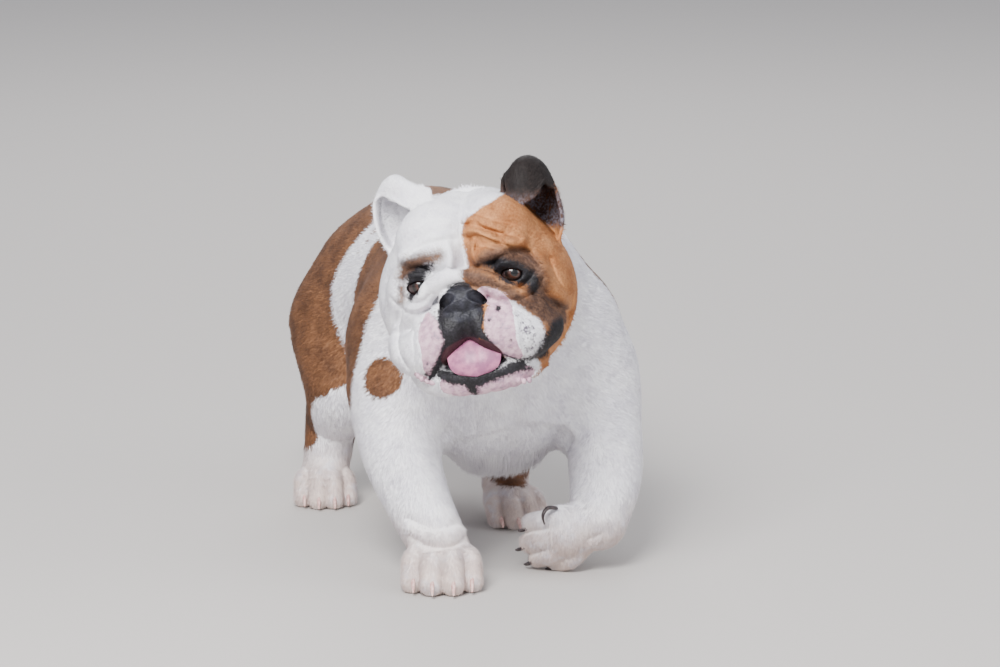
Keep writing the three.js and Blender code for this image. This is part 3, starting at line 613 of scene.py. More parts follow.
def surface(axes, stride=4, band=15.0):
    """Four-sided facets over the zero level of the flesh, one corner in each crossed cell of the grid"""
    starts = [axis[::stride] for axis in axes]
    knots = np.stack(np.meshgrid(*starts, indexing="ij"), -1).reshape(-1, 3)
    rough = flesh_distance(knots).reshape([len(start) for start in starts])
    nearest = []
    for axis, start in zip(axes, starts):
        step_number = (np.arange(len(axis)) + stride // 2) // stride
        nearest.append(np.minimum(step_number, len(start) - 1))
    values = rough[np.ix_(*nearest)]
    close = np.nonzero(np.abs(values) < band)
    values[close] = flesh_distance(np.stack([axes[a][close[a]] for a in range(3)], 1))
    inside = values < 0
    slices = (slice(0, -1), slice(1, None))
    cells = [inside[i, j, k] for i in slices for j in slices for k in slices]
    active = np.any(cells, axis=0) & ~np.all(cells, axis=0)
    found = np.argwhere(active)
    number = np.full(active.shape, -1)
    number[active] = np.arange(len(found))
    total, count = np.zeros((len(found), 3)), np.zeros((len(found), 1))
    for axis in range(3):
        u, v = (axis + 1) % 3, (axis + 2) % 3
        for du, dv in ((0, 0), (0, 1), (1, 0), (1, 1)):
            start = found.copy()
            start[:, u] += du
            start[:, v] += dv
            end = start.copy()
            end[:, axis] += 1
            a, b = values[tuple(start.T)], values[tuple(end.T)]
            crossed = (a < 0) != (b < 0)
            share = np.where(crossed, a / np.where(crossed, a - b, 1), 0)
            spot = np.stack([axes[n][start[:, n]] for n in range(3)], 1)
            spot[:, axis] += (axes[axis][end[:, axis]] - spot[:, axis]) * share
            total += spot * crossed[:, None]
            count += crossed[:, None]
    quads = []
    for axis in range(3):
        u, v = (axis + 1) % 3, (axis + 2) % 3
        before, after = [slice(None)] * 3, [slice(None)] * 3
        before[axis], after[axis] = slices
        edges = np.argwhere(inside[tuple(before)] != inside[tuple(after)])
        ring = []
        for du, dv in ((1, 1), (0, 1), (0, 0), (1, 0)):
            cell = edges.copy()
            cell[:, u] -= du
            cell[:, v] -= dv
            ring.append(number[tuple(cell.T)])
        quad = np.stack(ring, 1)
        outward = inside[tuple(edges.T)]
        quads.append(np.where(outward[:, None], quad, quad[:, ::-1]))
    return total / count, np.vstack(quads)


def refine(points, triangles, wanted):
    """Splits the edges whose middles are wanted, and settles the new corners"""
    edges = np.sort(np.stack((triangles, np.roll(triangles, -1, 1)), 2).reshape(-1, 2), 1)
    edges, back = np.unique(edges, axis=0, return_inverse=True)
    middles = points[edges].mean(1)
    split = wanted(middles)
    number = np.full(len(edges), -1)
    number[split] = len(points) + np.arange(split.sum())
    points = np.vstack((points, settle(middles[split], 1.0)))
    middle = number[back.reshape(-1)].reshape(-1, 3)
    halved = middle >= 0
    count = halved.sum(1)
    turn = np.where(count == 1, halved.argmax(1), np.where(count == 2, ((~halved).argmax(1) + 1) % 3, 0))
    order = (turn[:, None] + np.arange(3)) % 3
    a, b, c = np.take_along_axis(triangles, order, 1).T
    ab, bc, ca = np.take_along_axis(middle, order, 1).T
    pieces = [triangles[count == 0]]
    for rows, chosen in (
        (((a, ab, c), (ab, b, c)), count == 1),
        (((ab, b, bc), (a, ab, bc), (a, bc, c)), count == 2),
        (((a, ab, ca), (ab, b, bc), (ca, bc, c), (ab, bc, ca)), count == 3),
    ):
        pieces += [np.stack(row, 1)[chosen] for row in rows]
    return points, np.vstack(pieces)


COARSE_STEP, FINE_STEP = ((4.0, 2.0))
points, quads = surface((
    graded(-186, 200, -172, 46, COARSE_STEP, FINE_STEP),
    graded(-360, 366, -350, -134, COARSE_STEP, FINE_STEP),
    graded(-12, 470, 214, 466, COARSE_STEP, FINE_STEP),
))
points = settle(points, FINE_STEP)
triangles = np.vstack((quads[:, [0, 1, 2]], quads[:, [0, 2, 3]]))


def on_face_or_paws(p):
    local = HEAD.inside(p)
    close = (np.abs(local[:, 0]) < 78) & (local[:, 1] < -52)
    return (close & (local[:, 2] < 28) & (local[:, 2] > -108)) | ((p[:, 2] < 60) & (p[:, 2] > 1))


points, triangles = refine(points, triangles, on_face_or_paws)
points[:, 2] = np.maximum(points[:, 2], 0)


def new_mesh(name, points, faces, smooth=True):
    mesh = bpy.data.meshes.new(name)
    mesh.from_pydata(metres(points).tolist(), [], [list(face) for face in faces])
    mesh.polygons.foreach_set("use_smooth", [smooth] * len(mesh.polygons))
    mesh.update()
    piece = bpy.data.objects.new(name, mesh)
    bpy.context.scene.collection.objects.link(piece)
    return piece


def set_values(mesh, name, values, domain="POINT"):
    """A named value or colour at each corner, for a material to read"""
    kind = "FLOAT" if values.ndim == 1 else "FLOAT_COLOR"
    attribute = mesh.attributes.new(name, kind, domain)
    attribute.data.foreach_set("value" if kind == "FLOAT" else "color", values.astype(np.float32).ravel())


skin = new_mesh("skin", points, triangles)
FLESH_NODES = [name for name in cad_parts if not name.startswith("eye") and name != "tongue"]
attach(skin, "root")
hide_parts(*FLESH_NODES)

# Markings: white, with a tan left half of the face, black round the eyes, nose and mouth, pink bare lips,
# tan patches behind the shoulders and tan hindquarters. Each is drawn as strokes on the dog's own grids,
# and a value of one half is the edge of a patch.
EDGE = 9.0


def share_of(distance, edge=EDGE):
    return np.clip(0.5 - distance / (2 * edge), 0, 1)


def strokes(points, lines, across=1, edge=EDGE):
    """How far inside the nearest of some strokes each point is, seen along one axis"""
    nearest = np.full(len(points), 99.0)
    for line in lines:
        distance, low, high = hose(line, 6 * len(line), across=across)
        nearest = np.minimum(nearest, distance(points))
    return share_of(nearest, edge)


def fade(values, start, end):
    u = np.clip((values - start) / (end - start), 0, 1)
    return u * u * (3 - 2 * u)


EYE_BLACK_LEFT = ((22, 19, 3), (36, 15, 8), (52, 6, 12), (66, -5, 8), (68, -18, 3))
EYE_BROWN_LEFT = ((17, 20, 6), (34, 20, 12), (56, 12, 16), (70, -4, 12), (70, -26, 8))
EYE_BLACK_RIGHT = ((-31, 25, 4), (-41, 20, 8), (-50, 11, 9), (-52, 2, 8), (-56, -6, 4))
BROW_BROWN_RIGHT = ((-22, 32, 5), (-38, 30, 8), (-54, 25, 10), (-64, 16, 7))
EYE_BROWN_RIGHT = ((-66, 6, 4), (-68, -8, 3))
NOSE_BLACK = ((-3, -13, 18), (-5, -27, 25), (-6, -43, 22))
NOSE_GROOVE = ((-2, -14, 0.5), (-2, -26, 0.9), (-2, -38, 0.9), (-1, -50, 0.8))
LIP_EDGE_RIGHT = ((-20, -50, 6), (-25, -62, 6), (-37, -77, 4.5), (-47, -88, 4))
LIP_EDGE_LEFT = ((12, -48, 7), (19, -57, 4), (30, -72, 1.5), (42, -81, 2))
CORNER_BLACK = ((47, -83, 2), (62, -82, 5), (76, -71, 9), (88, -54, 9))
LIP_BLACK_LOWER = ((-36, -85, 6), (-22, -91, 8), (-2, -95, 9), (20, -93, 8), (46, -88, 7))
CHIN_BLACK = ((-6, -98, 8), (-4, -108, 6))
CHIN_BLOTCH = ((42, -91, 4), (54, -93, 4))
JAW_WHITE = ((-50, -90, 14), (0, -94, 18), (50, -90, 12))
LIP_PINK_RIGHT = ((-39, -26, 5), (-38, -42, 13), (-37, -56, 13), (-43, -70, 8), (-46, -82, 5))
LIP_PINK_LEFT = ((22, -10, 7), (34, -20, 10), (34, -36, 14), (34, -52, 15), (38, -67, 11), (46, -76, 5))
FRILL_PINK_RIGHT = ((-60, -83, 3), (-54, -89, 3.4), (-46, -94, 3))
FRILL_PINK_LEFT = ((40, -104, 3), (52, -106, 3))
CHIN_PINK = ((-30, -98, 9), (-2, -106, 11), (28, -102, 11), (50, -96, 7))
LIP_WHITE_LEFT = ((42, -22, 5), (53, -41, 10), (60, -58, 15), (56, -74, 9))
ROLL_BROWN = ((6, 12, 5), (20, 2, 9), (38, -12, 10), (56, -28, 10), (72, -38, 10), (90, -48, 9))
FACE_SHADE = ((68, -22, 7), (80, -34, 8), (92, -48, 8))
LEG_WHITE_RIGHT = ((118, 158, 8), (140, 122, 14), (160, 100, 22), (172, 74, 24), (168, 40, 30), (190, 16, 40))
SHOULDER_PATCH, SHOULDER_PATCH_RADIUS = (-137, -106, 205), 21.5
FLANK_SPOTS = (((-76, 121, 315), 5), ((-83, 118, 304), 4), ((-70, 128, 321), 4), ((-92, 124, 292), 3))
LIP_SPOTS = ((34, -27, 4.5), (24, -37, 3), (43, -60, 3.5), (46, -41, 1.5), (-46, -72, 3), (-50, -84, 4))


def markings(points):
    """Shares of tan, black, pink and brown at each point, then of mouth, left ear, right ear and speckles"""
    head = HEAD.inside(points)
    x, y, z = head.T
    front = fade(-y, 10, 30)
    near_head = fade(-y, -70, -30) * fade(points[:, 2], 190, 215)
    boundary = 50 * fade(z, 58, 92) + 3
    back_edge = 26 + 0.2 * z
    tan = share_of(np.maximum.reduce((boundary - x, y - back_edge, -106 - z))) * near_head
    white_lines = [LIP_WHITE_LEFT, LIP_PINK_LEFT, CHIN_PINK, JAW_WHITE]
    lip_white = fade(-y, 44, 56) * strokes(head, white_lines, edge=5)
    tan = np.minimum(tan, 1 - lip_white)
    brown = np.minimum(front * strokes(head, [ROLL_BROWN, FACE_SHADE], edge=7), 1 - lip_white)
    eye_brown = strokes(head, [EYE_BROWN_LEFT, BROW_BROWN_RIGHT, EYE_BROWN_RIGHT], edge=9)
    brown = np.maximum(brown, front * eye_brown)
    black = front * strokes(head, [EYE_BLACK_LEFT, EYE_BLACK_RIGHT], edge=9)
    muzzle = strokes(head, [NOSE_BLACK, LIP_EDGE_RIGHT, LIP_EDGE_LEFT], edge=6)
    muzzle = np.maximum(muzzle, strokes(head, [CORNER_BLACK], edge=11))
    black = np.maximum(black, fade(-y, 44, 56) * muzzle)
    lower = strokes(head, [LIP_BLACK_LOWER, CHIN_BLACK, CHIN_BLOTCH], edge=8)
    black = np.maximum(black, fade(-y, 60, 76) * lower)
    # Other black stays at 0.9 or below. The nose groove and the nostrils are raised close to full black, and
    # the skin material turns that into near-black painted shade inside those hollows.
    black *= 0.9
    black = np.maximum(black, fade(-y, 80, 90) * strokes(head, [NOSE_GROOVE], edge=0.8))
    for side_sign in (-1, 1):
        hole, low, high = hose([(-2 + px * side_sign, py, pz, pr + 0.8) for px, py, pz, pr in NOSTRIL], 12)
        near_hole = np.nonzero((y < -90) & (np.abs(x) < 34) & (z > -30) & (z < 6))[0]
        if len(near_hole):
            black[near_hole] = np.maximum(black[near_hole], share_of(hole(head[near_hole]), 1))
    pink_lines = [LIP_PINK_RIGHT, LIP_PINK_LEFT, CHIN_PINK, FRILL_PINK_RIGHT, FRILL_PINK_LEFT]
    pink = fade(-y, 56, 68) * strokes(head, pink_lines, edge=3)
    for spot_x, spot_z, radius in LIP_SPOTS:
        ring = np.hypot(x - spot_x, z - spot_z) - radius
        black = np.maximum(black, fade(-y, 60, 76) * share_of(ring, 3) * 0.62)
    hollow, low, high = ball(**MOUTH_HOLLOW)
    mouth = share_of(hollow(head) - 2, 3)
    left_ear, low, high = leather(LEFT_EAR, EAR_THICKNESS, 24)
    right_ear, low, high = leather(RIGHT_EAR, EAR_THICKNESS, 24)
    near_ears = np.nonzero((z > 15) & (np.abs(x) > 26) & (y > -45) & (y < 45))[0]
    ear_share = np.zeros((2, len(points)))
    if len(near_ears):
        ear_share[0, near_ears] = share_of(left_ear(head[near_ears]) - 4, 5)
        ear_share[1, near_ears] = share_of(right_ear(head[near_ears]) - 3, 3)
    ear_dark = 0.95 - 0.2 * fade(y, -6, 8) * fade(-z, -100, -80)
    ear_dark -= 0.3 * fade(x, 90, 98) * fade(z, 60, 80) * fade(-z, -104, -90)
    black = np.maximum(black, ear_share[0] * fade(z, 26, 50) * ear_dark)
    black = np.maximum(black, ear_share[1] * fade(-x, 80, 90) * 0.4)

    # the trunk, seen from its side
    bx, by, bz = points.T
    rear = share_of(np.maximum(147 + 12 * np.sin(bz / 31) - by, 60 - bz))
    saddle = share_of(np.maximum.reduce((-68 + 0.10 * (bz - 200) - by, by - 97, 150 - bz)))
    body_tan = np.maximum(rear, saddle * np.maximum(fade(-bx, 40, 90), fade(bx, 60, 110)))
    belly = share_of(bz - 150 - 26 * np.cos(by / 60), 14)
    body_tan *= 1 - np.where(by < 150, belly, 0)
    body_tan *= 1 - (bx < -30) * strokes(points, [LEG_WHITE_RIGHT], across=0)
    left_foot = share_of(bz - 42 - 0.18 * (by - 40), 5) * (bx > 10) * (by > -20)
    body_tan *= 1 - left_foot
    band = share_of(np.maximum(np.abs(bz - 54) - 13, -20 - by), 5) * (bx > 10) * (by < 110)
    body_tan = np.maximum(body_tan, band * (1 - left_foot))
    patch = np.linalg.norm((points - SHOULDER_PATCH) * (0.9, 1, 0.95), axis=1) - SHOULDER_PATCH_RADIUS
    body_tan = np.maximum(body_tan, share_of(patch, 6))
    for at, radius in FLANK_SPOTS:
        fleck = np.linalg.norm((points - at) * (1, 1.6, 0.8), axis=1) - radius
        body_tan = np.maximum(body_tan, share_of(fleck, 5) * 0.8)
    body_tan *= 1 - near_head
    speckled = fade(-y, 44, 56) * strokes(head, [LIP_WHITE_LEFT, CORNER_BLACK], edge=8)
    marks = np.stack((np.maximum(tan, body_tan), black, pink, brown), 1)
    return marks, np.stack((mouth, ear_share[0], ear_share[1], speckled), 1)


def coat_material(name, hair):
    """The same markings for skin and hair. Hair reads them at each root."""
    material, make, shader = new_material(name)
    marks = make.node("Attribute", {"attribute_name": "marks"}, out=0)
    split = marks.node("SeparateColor", i0=marks)
    tan, black, pink = (Socket(marks.tree, split.link.node.outputs[i]) for i in range(3))
    brown = marks.node("Attribute", {"attribute_name": "marks"}, out=3)
    places = marks.node("Attribute", {"attribute_name": "places"}, out=0)
    speckled = marks.node("Attribute", {"attribute_name": "places"}, out=3)
    split = marks.node("SeparateColor", i0=places)
    mouth, left_ear, right_ear = (Socket(marks.tree, split.link.node.outputs[i]) for i in range(3))
    spot = marks.node("TexCoord", out=3)
    fine = marks.node("TexNoise", {"noise_dimensions": "3D"}, Vector=spot, Scale=420.0, Detail=3.0)
    broad = marks.node("TexNoise", {"noise_dimensions": "3D"}, Vector=spot, Scale=46.0, Detail=3.0)
    mottle = marks.node("TexNoise", {"noise_dimensions": "3D"}, Vector=spot, Scale=150.0, Detail=4.0)
    ragged = (fine - 0.5) * 0.5 + (broad - 0.5) * 0.4

    def inside(value, soft=0.1):
        return (value + ragged).step(0.5 - soft, 0.5 + soft)

    split = marks.node("SeparateXYZ", i0=spot)
    behind = Socket(marks.tree, split.link.node.outputs[1]).step(-0.2, -0.1)
    above = Socket(marks.tree, split.link.node.outputs[2])
    white = (broad * 0.7 + fine * 0.3).step(0.3, 0.7).mix(rgb(238, 236, 241), rgb(252, 251, 252))
    face_tan = (broad * 0.6 + fine * 0.4).step(0.35, 0.65).mix(rgb(158, 98, 54), rgb(196, 136, 86))
    body_tan = (broad * 0.6 + fine * 0.4).step(0.35, 0.65).mix(rgb(94, 62, 41), rgb(132, 89, 58))
    tan_hair = behind.mix(face_tan, body_tan)
    feet = (1 - above.step(0.02, 0.085)) * (broad * 0.8 + mottle * 0.4).step(0.25, 0.65)
    white = (feet * 0.7).mix(white, rgb(216, 188, 170))
    brown_hair = (broad * 0.5 + fine * 0.5).step(0.35, 0.65).mix(rgb(70, 50, 42), rgb(118, 86, 66))
    black_hair = (fine * 0.6 + mottle * 0.4).step(0.4, 0.7).mix(rgb(17, 15, 18), rgb(38, 35, 41))
    nose_at = metres(np.array([HEAD.out((-2, -112, -13))]))[0]
    off_nose = marks.node("VectorMath", {"operation": "DISTANCE"}, out=1, i0=spot, i1=tuple(nose_at))
    nose_skin = mottle.step(0.35, 0.7).mix(rgb(24, 24, 30), rgb(42, 42, 51))
    black_hair = off_nose.step(0.020, 0.026).mix(nose_skin, black_hair)
    # Painted shade: black above 0.91, found only in the nostrils and the groove between them, is made near
    # black as the shade inside those hollows.
    black_hair = black.step(0.91, 0.99).mix(black_hair, rgb(3, 3, 4))
    ear_shade = above.step(0.405, 0.432) * 0.7 + (broad - 0.5) * 0.9 + (fine - 0.5) * 0.3
    ear_brown = ear_shade.step(0.1, 0.6).mix(rgb(70, 47, 38), rgb(24, 16, 14))
    bare_pink = mottle.step(0.36, 0.62).mix(rgb(216, 180, 192), rgb(186, 146, 164))
    grey_spots = (mottle * 0.7 + fine * 0.3).step(0.56, 0.64)
    colour = inside(tan).mix(white, tan_hair)
    colour = (brown + ragged * 0.8).step(0.2, 0.8).mix(colour, brown_hair)
    colour = (speckled * (mottle * 0.6 + fine * 0.4)).step(0.46, 0.62).mix(colour, rgb(112, 104, 116))
    colour = inside(pink, 0.05).mix(colour, grey_spots.mix(bare_pink, rgb(160, 138, 152)))
    cup = (1 - above.step(0.400, 0.424)) * (fine * 0.6 + mottle * 0.4).step(0.42, 0.6)
    ear_brown = cup.mix(ear_brown, rgb(122, 116, 126))
    dark = left_ear.step(0.3, 0.7).mix(black_hair, ear_brown)
    colour = (black + ragged * (1 - mouth)).step(0.36, 0.64).mix(colour, dark)
    colour = mouth.step(0.3, 0.7).mix(colour, rgb(58, 28, 34))
    if hair:
        shade = marks.node("Attribute", {"attribute_name": "shade"}, out=2)
        multiply = {"data_type": "RGBA", "blend_type": "MULTIPLY"}
        darker = colour.node("Mix", multiply, out=2, i0=1.0, i6=colour, i7=rgb(232, 229, 234))
        colour = shade.mix(colour, darker)
        (0.7 - shade * 0.12).feed(shader.inputs["Roughness"])
        shader.inputs["Specular IOR Level"].default_value = 0.3
    else:
        bare = (black + pink).step(0.4, 0.6) * (1 - left_ear)
        (0.8 - bare * 0.22 + (fine - 0.5) * 0.2).feed(shader.inputs["Roughness"])
        shader.inputs["Specular IOR Level"].default_value = 0.35
        grain = marks.node("TexVoronoi", {"voronoi_dimensions": "3D"}, Vector=spot, Scale=420.0)
        lines = fine * 0.6 + mottle * (0.5 + bare * 0.6) + grain * bare * 0.8
        marks.node("Bump", Strength=0.6, Distance=0.0009, Height=lines).feed(shader.inputs["Normal"])
    colour.feed(shader.inputs["Base Color"])
    return material


marks, places = markings(points)
set_values(skin.data, "marks", marks)
set_values(skin.data, "places", places)
skin.data.materials.append(coat_material("skin", hair=False))

# Coat: short, fine hair that lies flat from the nose back and down the legs. It is solid blades, each
# with its root in the skin, longest on the neck, thighs and brisket and shortest on the face and ears.
HAIR_COUNT = 420000
NOSE_TIP = HEAD.out((0, -118, -10))
TUFT_PATCH = 0.003 * np.array(((-0.5, 0), (0.5, 0), (0.4, 0.5), (-0.4, 0.5), (0, 1)))
PIECE_LIMIT = 60000
random = np.random.default_rng(7)

corner = points[triangles]
facet_normal = np.cross(corner[:, 1] - corner[:, 0], corner[:, 2] - corner[:, 0])
facet_area = np.linalg.norm(facet_normal, axis=1) / 2
facet_normal /= np.maximum(facet_area[:, None] * 2, 1e-9)
middle = corner.mean(1)
head_middle = HEAD.inside(middle)
facet_marks, facet_places = (np.take(values, triangles, 0).mean(1) for values in (marks, places))
on_the_face = fade(-head_middle[:, 1], 0, 50) * fade(middle[:, 2], 214, 226)
hairless_black = fade(-head_middle[:, 1], 74, 84) * (facet_marks[:, 1] > 0.45) * (facet_places[:, 3] < 0.5)
hairless_black *= (np.abs(head_middle[:, 0] + 2) < 27) | (head_middle[:, 2] < -44)
bare = np.maximum.reduce((facet_marks[:, 2] * on_the_face, facet_places[:, 0], hairless_black))
eye_across = np.hypot((np.abs(head_middle[:, 0]) - 49.5) / 15.5, (head_middle[:, 2] - 4.2) / 10.5)
bare = np.maximum(bare, (eye_across < 1) & (head_middle[:, 1] < -74))
under_foot = (middle[:, 2] < 6) & (facet_normal[:, 2] < -0.3)
wanted_density = np.where(bare > 0.5, 0, 1 + 1.6 * on_the_face + 1.0 * (middle[:, 2] < 60)) * ~under_foot
share = np.cumsum(facet_area * wanted_density)
chosen = np.searchsorted(share, random.random(HAIR_COUNT) * share[-1])
u, v = random.random((2, HAIR_COUNT))
flip = u + v > 1
u[flip], v[flip] = 1 - u[flip], 1 - v[flip]
first, second, third = (corner[chosen, i] for i in range(3))
root = first + u[:, None] * (second - first) + v[:, None] * (third - first)
normal = facet_normal[chosen]


def ripple(p, scale, phase):
    """A smooth wandering value from -1 to 1"""
    q = p / scale
    waves = np.sin(q @ (1.0, 1.7, 0.6) + phase) + np.sin(q @ (-1.4, 0.8, 1.3) + phase * 2.1)
    return (waves + np.sin(q @ (0.5, -1.1, 1.9) - phase)) / 3


face_share = on_the_face[chosen]
low_leg = fade(-root[:, 2], -150, -95)
lie = root - NOSE_TIP
lie /= np.linalg.norm(lie, axis=1)[:, None]
lie[:, 2] -= 0.35 * (1 - face_share)
lie = lie * (1 - low_leg[:, None]) + np.array((0, 0.15, -1.0)) * low_leg[:, None]
wander = np.stack([ripple(root, 17.0, phase) for phase in (0.3, 1.9, 4.1)], 1)
lie += 0.13 * wander * (1 - 0.5 * face_share[:, None])
lie += random.normal(0, 0.07, (HAIR_COUNT, 3))
lie -= (lie * normal).sum(1)[:, None] * normal
lie /= np.maximum(np.linalg.norm(lie, axis=1)[:, None], 1e-6)

x, y, z = root.T
head_share = fade(-HEAD.inside(root)[:, 1], -70, -10) * fade(z, 206, 232)
length = 6.6 + 1.6 * fade(y, 120, 230) + 1.4 * fade(-y, 40, 110) * fade(z, 200, 260)
length = length * (1 - 0.35 * head_share) * (1 - 0.3 * face_share)
length = np.where(z < 110, np.minimum(length, 5 + 0.06 * z), length)
fringe = fade(-np.abs(z - 100), -26, -8) * fade(-np.abs(x), -70, -40) * fade(-np.abs(y + 60), -90, -60)
fringe *= normal[:, 2] < -0.2
length += 12 * fringe
ear_place = np.take(facet_places[:, 1:3].max(1), chosen)
length = np.where(ear_place > 0.4, 4.2, length)
length *= random.uniform(0.7, 1.2, HAIR_COUNT)
width = np.clip(0.085 * length, 0.34, 0.8) * random.uniform(0.8, 1.2, HAIR_COUNT)
width *= 1
rise = random.uniform(0.06, 0.15, HAIR_COUNT) + 0.2 * fringe
rise += 0.04 * fade(np.abs(ripple(root, 9.0, 2.2)), 0.4, 0.8)
lie_across = np.cross(lie, normal)
hair_root = root - 0.5 * normal
middle_point = root + (0.5 * length)[:, None] * lie + (0.5 * length * rise * 1.25)[:, None] * normal
droop = np.array((0, 0, -0.12)) * fringe[:, None]
tip = root + length[:, None] * (lie + droop) + (length * rise * 1.2)[:, None] * normal
half = (width / 2)[:, None] * lie_across
waist = half * 0.85
blades = np.stack((hair_root - half, hair_root + half, middle_point + waist, middle_point - waist, tip), 1)
blades[:, :, 2] = np.maximum(blades[:, :, 2], 0.4)
root_marks, root_places = markings(root)
root_marks = np.clip(root_marks + random.normal(0, 0.05, root_marks.shape), 0, 1)
shade = np.clip(0.5 + 0.35 * ripple(root, 8.0, 0.7) + random.normal(0, 0.15, HAIR_COUNT), 0, 1)

# Each blade is shaded like the coat it lies in, so its corners take a normal near the skin's.
REGIONS = {
    "head_right": lambda x, y, z, n: (z > 214) & (y < -150) & (x < -68),
    "head_left": lambda x, y, z, n: (z > 214) & (y < -150) & (x >= -68),
    "legs_fore": lambda x, y, z, n: (z < 150) & (y < 20),
    "legs_hind": lambda x, y, z, n: (z < 150) & (y >= 20),
    "fore_right": lambda x, y, z, n: (y < 60) & (x < 0),
    "fore_left": lambda x, y, z, n: (y < 60) & (x >= 0),
    "rear_right": lambda x, y, z, n: x < 0,
    "rear_left": lambda x, y, z, n: x >= 0,
}
coat = coat_material("hair", hair=True)
left = np.ones(HAIR_COUNT, bool)
for region, rule in REGIONS.items():
    taken = left & rule(x, y, z, normal)
    left &= ~taken
    taken = np.nonzero(taken)[0]
    for part in range(0, len(taken), PIECE_LIMIT):
        rows = taken[part:part + PIECE_LIMIT]
        count = len(rows)
        name = f"coat_{region}" + (f"_{part // PIECE_LIMIT + 1}" if len(taken) > PIECE_LIMIT else "")
        mesh = bpy.data.meshes.new(name)
        mesh.vertices.add(count * 5)
        mesh.vertices.foreach_set("co", metres(blades[rows].reshape(-1, 3)).astype(np.float32).ravel())
        corners = np.array((0, 1, 2, 0, 2, 3, 3, 2, 4)) + 5 * np.arange(count)[:, None]
        mesh.loops.add(count * 9)
        mesh.loops.foreach_set("vertex_index", corners.ravel().astype(np.int32))
        mesh.polygons.add(count * 3)
        mesh.polygons.foreach_set("loop_start", np.arange(0, count * 9, 3, dtype=np.int32))
        mesh.polygons.foreach_set("use_smooth", np.ones(count * 3, bool))
        mesh.update(calc_edges=True)
        soft = normal[rows] * 0.8 + lie[rows] * 0.15 + random.normal(0, 0.12, (count, 3))
        soft /= np.linalg.norm(soft, axis=1)[:, None]
        mesh.normals_split_custom_set_from_vertices(np.repeat(soft, 5, 0).tolist())
        set_values(mesh, "marks", np.repeat(root_marks[rows], 5, 0))
        set_values(mesh, "places", np.repeat(root_places[rows], 5, 0))
        set_values(mesh, "shade", np.repeat(shade[rows], 5))
        facing = np.abs(normal[rows]).argmax(1)
        tile = facing * 2 + (normal[rows][np.arange(count), facing] > 0)
        low, high = root[rows].min(0) - 1, root[rows].max(0) + 1
        flat = (root[rows] - low) / (high - low)
        flat = np.stack([flat[np.arange(count), (facing + side) % 3] for side in (1, 2)], 1)
        spot = (np.stack((tile % 3, tile // 3), 1) + 0.04 + 0.92 * flat) / (3, 2)
        layout = spot[:, None] + TUFT_PATCH
        unwrap = mesh.uv_layers.new(name="OFBake")
        unwrap.data.foreach_set("uv", layout[:, [0, 1, 2, 0, 2, 3, 3, 2, 4]].astype(np.float32).ravel())
        piece = bpy.data.objects.new(name, mesh)
        bpy.context.scene.collection.objects.link(piece)
        mesh.materials.append(coat)
        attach(piece, "root")

# Eyeballs: brown, with a dark pupil and rim under a wet, slightly bulged front. Each is one ball that
# lies loose in its hollow behind the lids.
IRIS_RADIUS, PUPIL_RADIUS, EYE_RADIUS = 8.4, 3.9, 12.5
towards_viewer = HEAD.turn.T @ towards_camera


def eyeball(name, middle, gaze):
    """A ball with a bulged front, its own grid with the gaze along +Z"""
    rings, steps = 40, 48
    gaze = gaze / np.linalg.norm(gaze)
    across = np.cross((0, 0, 1.0), gaze)
    across /= np.linalg.norm(across)
    upwards = np.cross(gaze, across)
    lean = np.linspace(0, np.pi, rings + 1)[1:-1]
    turn = np.linspace(0, 2 * np.pi, steps, endpoint=False)
    reach = EYE_RADIUS + 0.9 * np.exp(-((lean * EYE_RADIUS / IRIS_RADIUS) ** 2))
    radius, depth = reach * np.sin(lean), reach * np.cos(lean)
    grid = (
        radius[:, None, None] * (np.cos(turn)[:, None] * across + np.sin(turn)[:, None] * upwards)
        + depth[:, None, None] * gaze
    ).reshape(-1, 3)
    corners = np.vstack((grid, gaze * (EYE_RADIUS + 0.9), -gaze * EYE_RADIUS))
    faces = []
    for i in range(rings - 2):
        for j in range(steps):
            k = (j + 1) % steps
            faces.append((i * steps + j, (i + 1) * steps + j, (i + 1) * steps + k, i * steps + k))
    front, back = len(grid), len(grid) + 1
    last = (rings - 2) * steps
    for j in range(steps):
        k = (j + 1) % steps
        faces.append((front, j, k))
        faces.append((back, last + k, last + j))
    piece = new_mesh(name, HEAD.out(corners + middle), faces)
    off = corners - (corners @ gaze)[:, None] * gaze
    set_values(piece.data, "off_gaze", np.where(corners @ gaze > 0, np.linalg.norm(off, axis=1), 99))
    angle = np.arctan2(corners @ upwards, corners @ across)
    set_values(piece.data, "ray", np.sin(angle * 23) * 0.5 + np.sin(angle * 41 + 1) * 0.5)
    return piece


eye_material, make, shader = new_material("eye")
away = make.node("Attribute", {"attribute_name": "off_gaze"}, out=2)
ray = make.node("Attribute", {"attribute_name": "ray"}, out=2)
cloud = make.node("TexNoise", Vector=make.node("TexCoord", out=3), Scale=500.0, Detail=3.0)
# The iris is brown, but made darker than its own brown, and the white of the eye is a dark brownish red: both
# carry painted shade of the heavy lids.
iris = (away / IRIS_RADIUS + (ray * 0.05 + (cloud - 0.5) * 0.2)).step(0.42, 0.92)
iris = iris.mix(rgb(68, 36, 26), rgb(26, 14, 12))
colour = away.step(PUPIL_RADIUS - 0.3, PUPIL_RADIUS + 0.3).mix(rgb(4, 4, 5), iris)
colour = away.step(IRIS_RADIUS - 1.6, IRIS_RADIUS).mix(colour, rgb(12, 8, 8))
shaded_eye_white = cloud.step(0.4, 0.7).mix(rgb(58, 40, 40), rgb(30, 20, 20))
colour = away.step(IRIS_RADIUS + 0.2, IRIS_RADIUS + 1.6).mix(colour, shaded_eye_white)
colour.feed(shader.inputs["Base Color"])
shader.inputs["Roughness"].default_value = 0.5
shader.inputs["Specular IOR Level"].default_value = 0.15
shader.inputs["Coat Weight"].default_value = 1.0
shader.inputs["Coat Roughness"].default_value = 0.02
